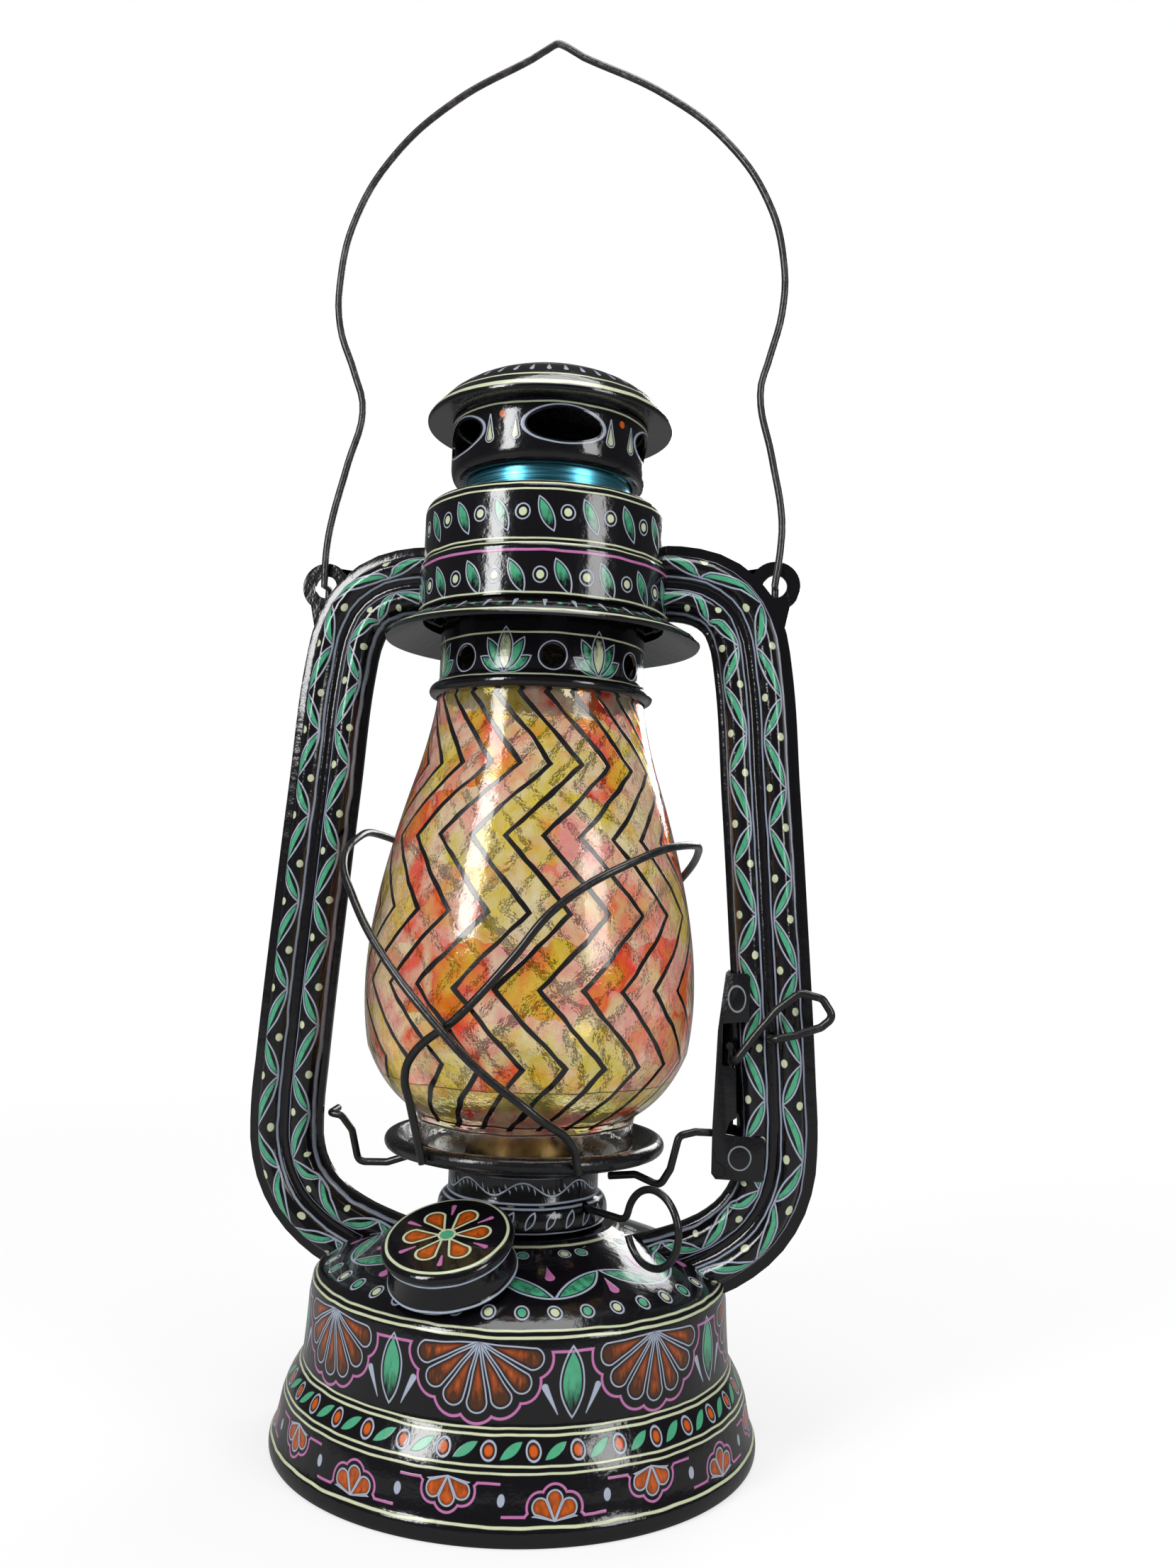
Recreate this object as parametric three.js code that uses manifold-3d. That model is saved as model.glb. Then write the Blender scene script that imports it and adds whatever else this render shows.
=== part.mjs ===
// Oil lantern of the hurricane type, with side tubes, a sliding globe plate and a wire bail.
// Millimetres, +Z up, the side tubes along X, the front at -Y, the origin under the middle of the foot.
import * as THREE from 'three';
import { mergeVertices } from 'three/addons/utils/BufferGeometryUtils.js';
import Module from 'manifold-3d';

const wasm = await Module();
wasm.setup();

// Driving dimensions
const PLAY = 0.3;
const FOOT_RADIUS = 63.5;
const SHOULDER_RADIUS = 54.4;
const SHOULDER_HEIGHT = 42;
const DOME_RISE = 14.3;
const TANK_SHEET = 1.2;
const THIN_SHEET = 0.9;
const COLLAR_RADIUS = 22.4;
const COLLAR_HEIGHT = 14.4;
const NECK_RADIUS = 20.1;
const PLATE_RADIUS = 37.5;
const PLATE_BEAD = 2.1;
const GLOBE_SEAT = 4.4;
const GLOBE_HEIGHT = 122.9;
const GLOBE_WALL = 1.6;
const TUBE_DEPTH = 12;
const TUBE_SHEET = 1;
const SEAM_THICKNESS = 1.2;
const EAR_X = 63.5;
const EAR_RISE = 10.1;
const EAR_RADIUS = 6.8;
const EAR_HOLE = 3.2;
const CHAMBER_RADIUS = 34.6;
const CHAMBER_STEP = 0.9;
const CHAMBER_GAP = 19.3;
const CHAMBER_HEIGHT = 31.1;
const SKIRT_RADIUS = 43.3;
const SKIRT_DROP = 6.4;
const CHIMNEY_RADIUS = 28.1;
const MOUTH_LAP = 3.2;
const CHIMNEY_HOLES = 7;
const FLUE_RADIUS = 23;
const CAP_RADIUS = 27.3;
const CAP_GAP = 3.6;
const CAP_DRUM = 19.6;
const CAP_HEIGHT = 35.3;
const CAP_VENTS = 5;
const BRIM_RADIUS = 34.2;
const WIRE = 1.05;
const FILLER_AZIMUTH = -13;
const FILLER_TILT = 22;
const FILLER_INSET = 10.9;
const FILLER_RISE = 4.9;
const FILLER_RADIUS = 16;
const KNOB_AZIMUTH = 48.6;
const KNOB_RISE = 5.7;
const KNOB_LOOP = 9.3;
const SHAFT_OFFSET = 4.4;
const LEVER_X = 65.2;
const LEVER_RISE = 36.1;

// Places, each from the piece that carries it
const FILLER_DISTANCE = SHOULDER_RADIUS - FILLER_INSET;
const TANK_TOP = SHOULDER_HEIGHT + DOME_RISE;
const COLLAR_BASE = TANK_TOP + PLAY;
const COLLAR_TOP = COLLAR_BASE + COLLAR_HEIGHT;
const KNOB_HEIGHT = COLLAR_BASE + KNOB_RISE;
const FILLER_HEIGHT = TANK_TOP + FILLER_RISE;
const PLATE_BASE = COLLAR_TOP + PLAY;
const GLOBE_BASE = PLATE_BASE + GLOBE_SEAT;
const GLOBE_TOP = GLOBE_BASE + GLOBE_HEIGHT;
const CHIMNEY_BASE = GLOBE_TOP - MOUTH_LAP;
const CHAMBER_BASE = GLOBE_TOP + CHAMBER_GAP;
const CHAMBER_TOP = CHAMBER_BASE + CHAMBER_HEIGHT;
const SKIRT_BASE = CHAMBER_BASE - SKIRT_DROP;
const EAR_HEIGHT = CHAMBER_BASE + EAR_RISE;
const CAP_BASE = CHAMBER_TOP + CAP_GAP;
const CAP_TOP = CAP_BASE + CAP_HEIGHT;
const LEVER_HEIGHT = PLATE_BASE + LEVER_RISE;

// Facets round the big spun parts, the small ones and the wires, and along a curved stretch
const FACETS = 24;
const TANK_FACETS = 28;
const SMALL_FACETS = 18;
const WIRE_SIDES = 6;
const CURVE_STEPS = 3;

const { degToRad } = THREE.MathUtils;
const point = (x, y, z) => new THREE.Vector3(x, y, z);

// A closed three.js geometry as a solid that can be joined and cut
function solid(geometry) {
  const bare = geometry.index ? geometry.toNonIndexed() : geometry.clone();
  bare.deleteAttribute('normal');
  bare.deleteAttribute('uv');
  const merged = mergeVertices(bare, 1e-4);
  const corners = merged.attributes.position.array;
  const index = merged.index.array;
  const triangles = [];
  let volume = 0;
  const [a, b, c] = [point(), point(), point()];
  for (let i = 0; i < index.length; i += 3) {
    const [p, q, r] = [index[i], index[i + 1], index[i + 2]];
    if (p === q || q === r || r === p) continue;
    triangles.push(p, q, r);
    a.fromArray(corners, 3 * p);
    b.fromArray(corners, 3 * q);
    c.fromArray(corners, 3 * r);
    volume += a.dot(b.cross(c));
  }
  if (volume < 0) triangles.reverse();
  return new wasm.Manifold(new wasm.Mesh({
    numProp: 3,
    vertProperties: new Float32Array(corners),
    triVerts: new Uint32Array(triangles),
  }));
}

const cut = (body, ...tools) => tools.reduce((rest, tool) => rest.subtract(tool), body);
const join = (...bodies) => bodies.reduce((whole, body) => whole.add(body));

// A line of corners [x, y] and curves [control x, control y, x, y]
function trace(steps, target = new THREE.Path()) {
  target.moveTo(...steps[0]);
  for (const step of steps.slice(1)) {
    if (step.length === 2) target.lineTo(...step);
    else target.quadraticCurveTo(...step);
  }
  return target;
}

const outline = (...steps) => trace(steps).getPoints(CURVE_STEPS);
const area = (...steps) => trace(steps, new THREE.Shape());

// The same line moved to its left, as the inner face of a sheet is
function inset(points, distance) {
  return points.map((p, i) => {
    const before = points[Math.max(i - 1, 0)];
    const after = points[Math.min(i + 1, points.length - 1)];
    const first = p.clone().sub(before).normalize();
    const second = after.clone().sub(p).normalize();
    const along = first.add(second).normalize();
    return new THREE.Vector2(p.x - along.y * distance, p.y + along.x * distance);
  });
}

const sheet = (points, thickness) => [...points, ...inset(points, thickness).reverse()];

// Revolves a closed outline of radii and heights round the vertical axis
function spin(points, facets = FACETS) {
  const closed = [...points, points[0]];
  return solid(new THREE.LatheGeometry(closed, facets).rotateX(Math.PI / 2));
}

function block(width, depth, height, x, y, z) {
  return solid(new THREE.BoxGeometry(width, depth, height).translate(x, y, z));
}

function rod(radius, length, sides = 12) {
  return new THREE.CylinderGeometry(radius, radius, length, sides);
}

// A flat sheet standing in the XZ plane between two depths
function plate(shape, front, back) {
  const geometry = new THREE.ExtrudeGeometry(shape, {
    depth: back - front, bevelEnabled: false, curveSegments: 2 * CURVE_STEPS,
  });
  return solid(geometry.rotateX(Math.PI / 2).translate(0, back, 0));
}

// A cutter through a round wall, at an azimuth from the front towards +X
function through(geometry, azimuth, distance, height) {
  return solid(geometry.translate(0, -distance, height).rotateZ(degToRad(azimuth)));
}

// A route that a wire or a tube follows from point to point
class Route extends THREE.Curve {
  constructor(points) {
    super();
    this.points = points;
    this.steps = points.length - 1;
  }

  at(i) {
    return this.points[Math.min(Math.max(i, 0), this.steps)];
  }

  getPoint(t, target = point()) {
    const i = Math.min(Math.floor(t * this.steps + 1e-6), this.steps);
    return target.copy(this.at(i));
  }

  getPointAt(t, target) {
    return this.getPoint(t, target);
  }

  getTangentAt(t, target = point()) {
    const i = Math.round(t * this.steps);
    return target.copy(this.at(i + 1)).sub(this.at(i - 1)).normalize();
  }
}

// Rounds the corners of a route of straight stretches
function rounded(corners, radius, steps = 3) {
  const points = [corners[0]];
  for (let i = 1; i < corners.length - 1; i++) {
    const [from, corner, to] = corners.slice(i - 1, i + 2);
    const back = from.clone().sub(corner);
    const on = to.clone().sub(corner);
    const half = back.angleTo(on) / 2;
    const reach = Math.min(radius / Math.tan(half), back.length() * 0.48, on.length() * 0.48);
    const start = corner.clone().addScaledVector(back.normalize(), reach);
    const end = corner.clone().addScaledVector(on.normalize(), reach);
    const bend = new THREE.QuadraticBezierCurve3(start, corner, end);
    points.push(...bend.getPoints(steps));
  }
  return [...points, corners[corners.length - 1]];
}

function flowing(points, steps) {
  return new THREE.CatmullRomCurve3(points, false, 'centripetal').getSpacedPoints(steps);
}

function sweep(shape, points) {
  const route = new Route(points);
  return solid(new THREE.ExtrudeGeometry(shape, {
    steps: route.steps, extrudePath: route, bevelEnabled: false,
  }));
}

function wire(points, radius = WIRE) {
  const corners = Array.from({ length: WIRE_SIDES }, (_, i) => {
    const angle = 2 * Math.PI * i / WIRE_SIDES;
    return new THREE.Vector2(radius * Math.cos(angle), radius * Math.sin(angle));
  });
  return sweep(new THREE.Shape(corners), points);
}

// Finishes
const black = { color: 0x141216, metalness: 0.2, roughness: 0.3 };
const wireBlack = { color: 0x1b1a1e, metalness: 0.5, roughness: 0.45 };
const tinned = { color: 0x9a9a98, metalness: 0.8, roughness: 0.4 };
const brass = { color: 0xb08d4a, metalness: 0.9, roughness: 0.35 };
const bareBlue = { color: 0x2f7f9e, metalness: 0.8, roughness: 0.3 };
const glass = { color: 0xe2c46a, metalness: 0, roughness: 0.08, transparent: true, opacity: 0.6 };
const cotton = { color: 0xe6dcc4, metalness: 0, roughness: 0.95 };
const cork = { color: 0x7a6148, metalness: 0, roughness: 0.9 };

const lantern = new THREE.Group();
lantern.name = 'oil_lantern';

function add(name, body, finish) {
  const { vertProperties, triVerts } = body.getMesh();
  const geometry = new THREE.BufferGeometry();
  geometry.setAttribute('position', new THREE.BufferAttribute(vertProperties, 3));
  geometry.setIndex(new THREE.BufferAttribute(triVerts, 1));
  geometry.computeVertexNormals();
  const mesh = new THREE.Mesh(geometry, new THREE.MeshStandardMaterial(finish));
  mesh.name = name;
  lantern.add(mesh);
}

// Fuel tank: rolled foot rim, flared band, wall, shoulder and dome in one sheet
const rimWidth = 3.1;
const tankWall = outline(
  [FOOT_RADIUS - 0.9, 0],
  [FOOT_RADIUS + 0.4, 1.6, FOOT_RADIUS - 0.6, 4.2],
  [FOOT_RADIUS - 2.1, 9.5],
  [FOOT_RADIUS - 3.4, 15],
  [SHOULDER_RADIUS + 1.8, 22.4],
  [SHOULDER_RADIUS + 0.6, SHOULDER_HEIGHT - 4],
  [SHOULDER_RADIUS, SHOULDER_HEIGHT],
);
const tankDome = outline(
  [SHOULDER_RADIUS, SHOULDER_HEIGHT],
  [SHOULDER_RADIUS - 2.8, SHOULDER_HEIGHT + 3.8, SHOULDER_RADIUS - 14.4, TANK_TOP - 5.9],
  [COLLAR_RADIUS + 4.1, TANK_TOP - 1.5],
  [COLLAR_RADIUS + 2.2, TANK_TOP - 0.3],
  [17, TANK_TOP],
);
const tankFace = [...tankWall, ...tankDome.slice(1)];
const tankSheet = [
  ...sheet(tankFace.slice(1), TANK_SHEET),
  new THREE.Vector2(FOOT_RADIUS - rimWidth, 2.2),
  new THREE.Vector2(FOOT_RADIUS - rimWidth, 0),
  tankFace[0],
];

// Moves a piece made along +Z, with its top at the origin, to the filler
function atFiller(body) {
  const azimuth = degToRad(FILLER_AZIMUTH);
  return body.rotate([FILLER_TILT, 0, 0]).rotate([0, 0, FILLER_AZIMUTH]).translate([
    FILLER_DISTANCE * Math.sin(azimuth), -FILLER_DISTANCE * Math.cos(azimuth), FILLER_HEIGHT,
  ]);
}

const fillerBore = 12.5;
const upright = (radius, length, z, sides = SMALL_FACETS) => solid(
  rod(radius, length, sides).rotateX(Math.PI / 2).translate(0, 0, z),
);
add('fuel_tank', cut(spin(tankSheet, TANK_FACETS), atFiller(upright(fillerBore + PLAY, 30, -19))), black);

const panEdge = FOOT_RADIUS - 4.3;
const panLevel = 10.4;
const panMiddle = panLevel + 1.8;
const panSheet = outline(
  [0.01, panMiddle], [panEdge - 15.2, panMiddle], [panEdge - 13.2, panLevel], [panEdge - 5.2, panLevel],
  [panEdge, panLevel],
);
add('tank_bottom', spin([
  new THREE.Vector2(0, panMiddle), ...panSheet.slice(1), ...inset(panSheet, 1).reverse().slice(0, -1),
  new THREE.Vector2(0, panMiddle + 1),
], TANK_FACETS), black);

// Filler neck, the cork washer in the cap, and the cap
const neckLength = 12.6;
const neckTop = -2.6;
add('filler_neck', atFiller(cut(
  upright(fillerBore, neckLength, neckTop - neckLength / 2),
  upright(fillerBore - 1.1, neckLength + 2, neckTop - neckLength / 2),
)), tinned);
const capSheet = 1.1;
const capDepth = 5.6 + FILLER_RISE;
const washer = outline(
  [8.6, neckTop + PLAY], [13.2, neckTop + PLAY], [13.2, -capSheet - PLAY], [8.6, -capSheet - PLAY],
);
add('cap_gasket', atFiller(spin(washer, SMALL_FACETS)), cork);
const capSkirt = outline(
  [FILLER_RADIUS - 0.2, -capDepth],
  [FILLER_RADIUS - 0.7, 1.1 - capDepth],
  [FILLER_RADIUS - 0.7, -3],
  [FILLER_RADIUS, -2.4],
  [FILLER_RADIUS, -1.2],
  [FILLER_RADIUS - 1.2, 0],
);
add('filler_cap', atFiller(spin([
  ...capSkirt, new THREE.Vector2(0, 0), new THREE.Vector2(0, -capSheet),
  new THREE.Vector2(FILLER_RADIUS - 1.8, -capSheet), new THREE.Vector2(FILLER_RADIUS - 1.8, -capDepth),
])), black);

// Burner collar with its swelled base, pierced for the wick shaft
const shaftHole = (radius) => solid(rod(radius, 24, 10).translate(SHAFT_OFFSET, -20, KNOB_HEIGHT));
const collarBore = 19;
add('burner_collar', cut(spin(outline(
  [collarBore, COLLAR_BASE],
  [COLLAR_RADIUS - 0.6, COLLAR_BASE],
  [COLLAR_RADIUS + 0.3, COLLAR_BASE + 2.8, COLLAR_RADIUS - 0.8, COLLAR_BASE + 6.2],
  [NECK_RADIUS, COLLAR_BASE + 7.8],
  [NECK_RADIUS, COLLAR_TOP],
  [collarBore, COLLAR_TOP],
)), shaftHole(1.5).rotate([0, 0, KNOB_AZIMUTH])), black);

// Burner, made with the wick's width along Y and turned towards the knob: a seated drum with
// draught holes, a slotted flame cone, and the flat wick in its tube
const atBurner = (body) => body.rotate([0, 0, KNOB_AZIMUTH]);
const drumRadius = 16.4;
const drumTop = COLLAR_TOP + 1.4;
const drumSeat = COLLAR_BASE + 0.4;
const drumFoot = drumSeat - 6.5;
const drumBody = spin(outline(
  [drumRadius - 1, drumFoot],
  [drumRadius, drumFoot],
  [drumRadius, drumSeat],
  [collarBore - 0.5, drumSeat],
  [collarBore - 0.5, drumSeat + 1],
  [drumRadius, drumSeat + 1],
  [drumRadius, drumTop],
  [7, drumTop],
  [7, drumTop - 1],
  [drumRadius - 1, drumTop - 1],
), SMALL_FACETS);
const draughtHoles = Array.from({ length: 8 }, (_, i) => {
  const angle = 2 * Math.PI * (i + 0.5) / 8;
  return upright(1.3, 6, drumTop, 8).translate([12.4 * Math.cos(angle), 12.4 * Math.sin(angle), 0]);
});
const wickWidth = 14.6;
const wickThickness = 2.6;
const tubeWidth = wickWidth + 1.8;
const tubeThickness = wickThickness + 1.8;
add('burner_drum', atBurner(cut(
  drumBody, ...draughtHoles, shaftHole(1.4),
  block(tubeThickness + 1, tubeWidth + 1, 6, 0, 0, drumTop),
)), brass);
const coneRadius = drumRadius - 0.2;
const coneTop = drumTop + 15.4;
const coneFace = outline(
  [coneRadius, drumTop + PLAY], [coneRadius, drumTop + 2.6], [14.8, coneTop - 5.2, 8.4, coneTop - 1.2],
  [0, coneTop],
);
const coneLining = inset(coneFace, 0.8).reverse();
coneLining[0].x = 0;
add('burner_cone', atBurner(cut(
  spin([...coneFace, ...coneLining], SMALL_FACETS),
  block(4.8, 19, 12, 0, 0, coneTop - 3.8),
)), brass);
const wickTubeMiddle = COLLAR_BASE + 6.9;
add('wick_tube', atBurner(cut(
  block(tubeThickness, tubeWidth, 33, 0, 0, wickTubeMiddle),
  block(wickThickness + 2 * PLAY, wickWidth + 2 * PLAY, 40, 0, 0, wickTubeMiddle),
  block(tubeThickness, 11.6, 6.4, tubeThickness / 2 + 0.4, 0, KNOB_HEIGHT),
)), brass);
add('wick', atBurner(block(wickThickness, wickWidth, 58.5, 0, 0, COLLAR_BASE - 3.4)), cotton);

// Wick shaft beside the wick, one wire bent to a finger loop outside, and its two toothed wheels
const loopCentre = 46.6;
const shaftWire = 0.95;
const onShaft = (distance, rise) => (
  point(SHAFT_OFFSET, -distance, KNOB_HEIGHT + rise).applyAxisAngle(point(0, 0, 1), degToRad(KNOB_AZIMUTH))
);
const loopTurns = Array.from({ length: 15 }, (_, i) => {
  const angle = degToRad(166 - i * 23.2);
  return onShaft(loopCentre + KNOB_LOOP * Math.cos(angle), KNOB_LOOP * Math.sin(angle));
});
const shaftRoute = [onShaft(-6.4, 0), onShaft(35.4, 0), onShaft(36.8, 0.7), ...loopTurns];
add('wick_shaft', wire(shaftRoute, shaftWire), wireBlack);
const teeth = Array.from({ length: 24 }, (_, i) => {
  const radius = i % 2 ? 2 : 2.7;
  const angle = 2 * Math.PI * i / 24;
  return new THREE.Vector2(radius * Math.cos(angle), radius * Math.sin(angle));
});
const wheelWidth = 1.6;
for (const [name, along] of [['wick_wheel_inner', 3.6], ['wick_wheel_outer', -3.6]]) {
  const blank = plate(new THREE.Shape(teeth), -wheelWidth / 2, wheelWidth / 2);
  const wheel = cut(blank, solid(rod(shaftWire + PLAY, 6, 8)));
  add(name, atBurner(wheel.translate([SHAFT_OFFSET, along, KNOB_HEIGHT])), brass);
}

// Side tubes: two pressed halves with a groove between two lobes, closed along flat seams.
// The section is [depth, distance inwards from the middle line]
const lobe = TUBE_DEPTH / 2;
const seam = SEAM_THICKNESS / 2;
const halfSection = [
  [seam, -10.6], [seam + 0.1, -7.6], [lobe - 1, -6.1], [lobe, -4.2], [lobe - 0.9, -1.9], [lobe / 2, -0.5],
  [lobe / 2, 1.5], [lobe - 0.9, 3], [lobe, 5.3], [lobe - 1, 7.8], [seam + 0.1, 9.1], [seam, 10.4],
];
const halfBore = [
  [0.3, -6.6], [lobe - TUBE_SHEET - 0.6, -5.4], [lobe - TUBE_SHEET - 0.4, -3], [lobe / 2 - TUBE_SHEET, -1],
  [lobe / 2 - TUBE_SHEET, 2], [lobe - TUBE_SHEET - 0.4, 4], [lobe - TUBE_SHEET - 0.6, 7], [0.3, 8.2],
];
function bothHalves(half) {
  const mirrored = half.map(([depth, across]) => [-depth, across]).reverse();
  return new THREE.Shape([...half, ...mirrored].map(([depth, across]) => new THREE.Vector2(depth, across)));
}
const upperBend = [
  [33, 0.8], [40, 0.3], [47, -2], [52.5, -6.5], [56, -13.5], [57.8, -22], [61, -58], [63.2, -86],
].map(([x, z]) => point(x, 0, EAR_HEIGHT + z));
const lowerBend = [
  [66.5, 53], [67.2, 38], [66.3, 28], [62.5, 19], [56, 12], [48, 7.2], [40, 4], [30, 1],
].map(([x, z]) => point(x, 0, SHOULDER_HEIGHT + z));
const tubeMiddle = [...upperBend, ...lowerBend];
const tubeRoute = flowing(tubeMiddle, 13);
const first = tubeRoute[0].clone().add(point(-6, 0, 0.4));
const last = tubeRoute[tubeRoute.length - 1].clone().add(point(-6, 0, -1.8));

const tankRoom = spin([
  new THREE.Vector2(0, SHOULDER_HEIGHT - 12), new THREE.Vector2(SHOULDER_RADIUS + 1.6, SHOULDER_HEIGHT - 12),
  ...inset(tankDome.slice(0, -1), -PLAY - 0.1), new THREE.Vector2(0, COLLAR_BASE),
], TANK_FACETS);
const collarRoom = upright(COLLAR_RADIUS + PLAY + 0.1, 16, COLLAR_BASE + 5.4, FACETS);
const chamberRoom = upright(CHAMBER_RADIUS + PLAY + 0.1, 60, CHAMBER_BASE + 14.1, FACETS);
const skirtRoom = spin(outline(
  [0, SKIRT_BASE - 11.5], [SKIRT_RADIUS + 1, SKIRT_BASE - 11.5], [SKIRT_RADIUS + 1, SKIRT_BASE + 1.8],
  [CHAMBER_RADIUS + 0.8, CHAMBER_BASE + PLAY], [0, CHAMBER_BASE + PLAY],
));

const earShape = trace([
  [45.5, EAR_HEIGHT + 4.6], [51, EAR_HEIGHT + 4.4, 57.6, EAR_HEIGHT + 3.4],
], new THREE.Shape());
earShape.absarc(EAR_X, EAR_HEIGHT, EAR_RADIUS, degToRad(150), degToRad(-52), true);
earShape.lineTo(66.4, EAR_HEIGHT - 11.5);
earShape.lineTo(66.6, EAR_HEIGHT - 16);
earShape.lineTo(60, EAR_HEIGHT - 18);
earShape.lineTo(54, EAR_HEIGHT - 3);

function sideTube() {
  const outside = sweep(bothHalves(halfSection), tubeRoute);
  const shell = cut(outside, sweep(bothHalves(halfBore), [first, ...tubeRoute, last]));
  const ear = plate(earShape, -seam, seam);
  const tube = cut(
    join(shell, cut(ear, sweep(bothHalves(halfBore), tubeRoute))),
    solid(rod(EAR_HOLE, 10, 16).translate(EAR_X, 0, EAR_HEIGHT)),
    tankRoom, collarRoom, chamberRoom, skirtRoom,
  );
  return tube;
}
const leverHole = solid(rod(WIRE + 0.45, 6).translate(LEVER_X, -lobe + 2, LEVER_HEIGHT));
add('side_tube_right', cut(sideTube(), leverHole), black);
add('side_tube_left', sideTube().mirror([1, 0, 0]), black);

// Air chamber: two bands with a step between them and a flat top
const upperRadius = CHAMBER_RADIUS - CHAMBER_STEP;
const chamberFace = outline(
  [CHAMBER_RADIUS, CHAMBER_BASE],
  [CHAMBER_RADIUS, CHAMBER_BASE + 13.1],
  [upperRadius, CHAMBER_BASE + 14.7],
  [upperRadius, CHAMBER_TOP - 3.6],
  [upperRadius, CHAMBER_TOP, upperRadius - 3.4, CHAMBER_TOP],
  [FLUE_RADIUS + 0.6, CHAMBER_TOP],
);
const portHalf = 4.6;
add('air_chamber', cut(
  spin(sheet(chamberFace, THIN_SHEET)),
  block(2 * CHAMBER_RADIUS + 20.8, 2 * portHalf, 7.6, 0, 0, EAR_HEIGHT - 2.6),
), black);

// Skirt under the chamber
add('chamber_skirt', spin(outline(
  [CHAMBER_RADIUS - 1.3, CHAMBER_BASE - 1.7],
  [CHAMBER_RADIUS - 0.4, CHAMBER_BASE - 1.7],
  [SKIRT_RADIUS - 0.9, SKIRT_BASE],
  [SKIRT_RADIUS, SKIRT_BASE],
  [SKIRT_RADIUS, SKIRT_BASE + 1.2],
  [CHAMBER_RADIUS, CHAMBER_BASE - PLAY],
  [CHAMBER_RADIUS - 1.3, CHAMBER_BASE - PLAY],
)), black);

// Chimney: beaded mouth over the globe, a ring of round holes, a shoulder, and the flue above it
const flueBase = CHAMBER_BASE + 14.1;
const mouth = outline(
  [CHIMNEY_RADIUS + 0.6, CHIMNEY_BASE],
  [CHIMNEY_RADIUS + 3.1, CHIMNEY_BASE + 0.6, CHIMNEY_RADIUS + 1.6, CHIMNEY_BASE + 2.6],
  [CHIMNEY_RADIUS, CHIMNEY_BASE + 5],
  [CHIMNEY_RADIUS, flueBase - 7],
  [FLUE_RADIUS, flueBase - 2.6],
  [FLUE_RADIUS, flueBase],
);
const holeLevel = CHIMNEY_BASE + 8.6;
const chimneyHoles = Array.from({ length: CHIMNEY_HOLES }, (_, i) => (
  through(rod(3.2, 12, 7), 16.5 + 360 * i / CHIMNEY_HOLES, CHIMNEY_RADIUS, holeLevel)
));
add('chimney_tube', cut(spin(sheet(mouth, THIN_SHEET)), ...chimneyHoles), black);
const flueSheet = 0.7;
const flueTop = CAP_BASE + 9.4;
const flue = outline(
  [FLUE_RADIUS - flueSheet, flueBase + PLAY], [FLUE_RADIUS, flueBase + PLAY],
  [FLUE_RADIUS, flueTop], [FLUE_RADIUS - flueSheet, flueTop],
);
add('neck_ring', spin(flue, SMALL_FACETS), bareBlue);

// Cap: vented drum with a rolled-in foot, and the brimmed dome above it
const capFace = outline(
  [FLUE_RADIUS + 0.4, CAP_BASE],
  [CAP_RADIUS - 2.1, CAP_BASE],
  [CAP_RADIUS, CAP_BASE + 0.6, CAP_RADIUS, CAP_BASE + 6.4],
  [CAP_RADIUS, CAP_BASE + CAP_DRUM],
);
const ventWidth = 20;
const ventHeight = 9;
const ventLevel = CAP_BASE + 12.8;
const cutterDepth = 14;
const ventShape = new THREE.Shape();
ventShape.absellipse(0, 0, ventWidth / 2, ventHeight / 2, 0, 2 * Math.PI);
const capVents = Array.from({ length: CAP_VENTS }, (_, i) => {
  const cutter = new THREE.ExtrudeGeometry(ventShape, {
    depth: cutterDepth, bevelEnabled: false, curveSegments: 6,
  }).translate(0, 0, -cutterDepth / 2).rotateX(Math.PI / 2);
  return through(cutter, 19 + 360 * i / CAP_VENTS, CAP_RADIUS, ventLevel);
});
add('cap_body', cut(spin(sheet(capFace, THIN_SHEET)), ...capVents), black);
const brimLevel = CAP_BASE + CAP_DRUM + 0.4;
const brim = outline(
  [CAP_RADIUS - 1.3, brimLevel],
  [CAP_RADIUS + 1.7, brimLevel],
  [BRIM_RADIUS, brimLevel - 0.6],
  [BRIM_RADIUS, brimLevel + 0.8],
  [BRIM_RADIUS - 5.6, CAP_TOP - 8.3],
  [BRIM_RADIUS - 14.2, CAP_TOP - 1.9, 0, CAP_TOP],
);
add('cap_top', spin([
  ...brim,
  ...outline(
    [0, CAP_TOP - 1], [BRIM_RADIUS - 14.6, CAP_TOP - 2.9, BRIM_RADIUS - 6.2, CAP_TOP - 9.3],
    [BRIM_RADIUS - 3.2, brimLevel + 2.4], [CAP_RADIUS - 1.3, brimLevel + 1.4],
  ),
]), black);

// Lifting ring lying on the cap, its inner side under a small staple
const ringRadius = 5.2;
const ringWire = 0.75;
const ringPivot = { x: 0.5, z: CAP_TOP + 1.3 };
const ringSlope = degToRad(4);
const stapleReach = 2.1;
const stapleFoot = CAP_TOP + PLAY;
const stapleBar = stapleFoot + 3.1;
add('cap_staple', wire(rounded([
  point(ringPivot.x - stapleReach, 0, stapleFoot), point(ringPivot.x - stapleReach, 0, stapleBar),
  point(ringPivot.x + stapleReach, 0, stapleBar), point(ringPivot.x + stapleReach, 0, stapleFoot),
], 1.3, 2), 0.7), wireBlack);
add('cap_ring', solid(new THREE.TorusGeometry(ringRadius, ringWire, WIRE_SIDES, 14)
  .translate(-ringRadius, 0, 0).rotateY(-ringSlope).translate(ringPivot.x, 0, ringPivot.z)), wireBlack);

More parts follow.
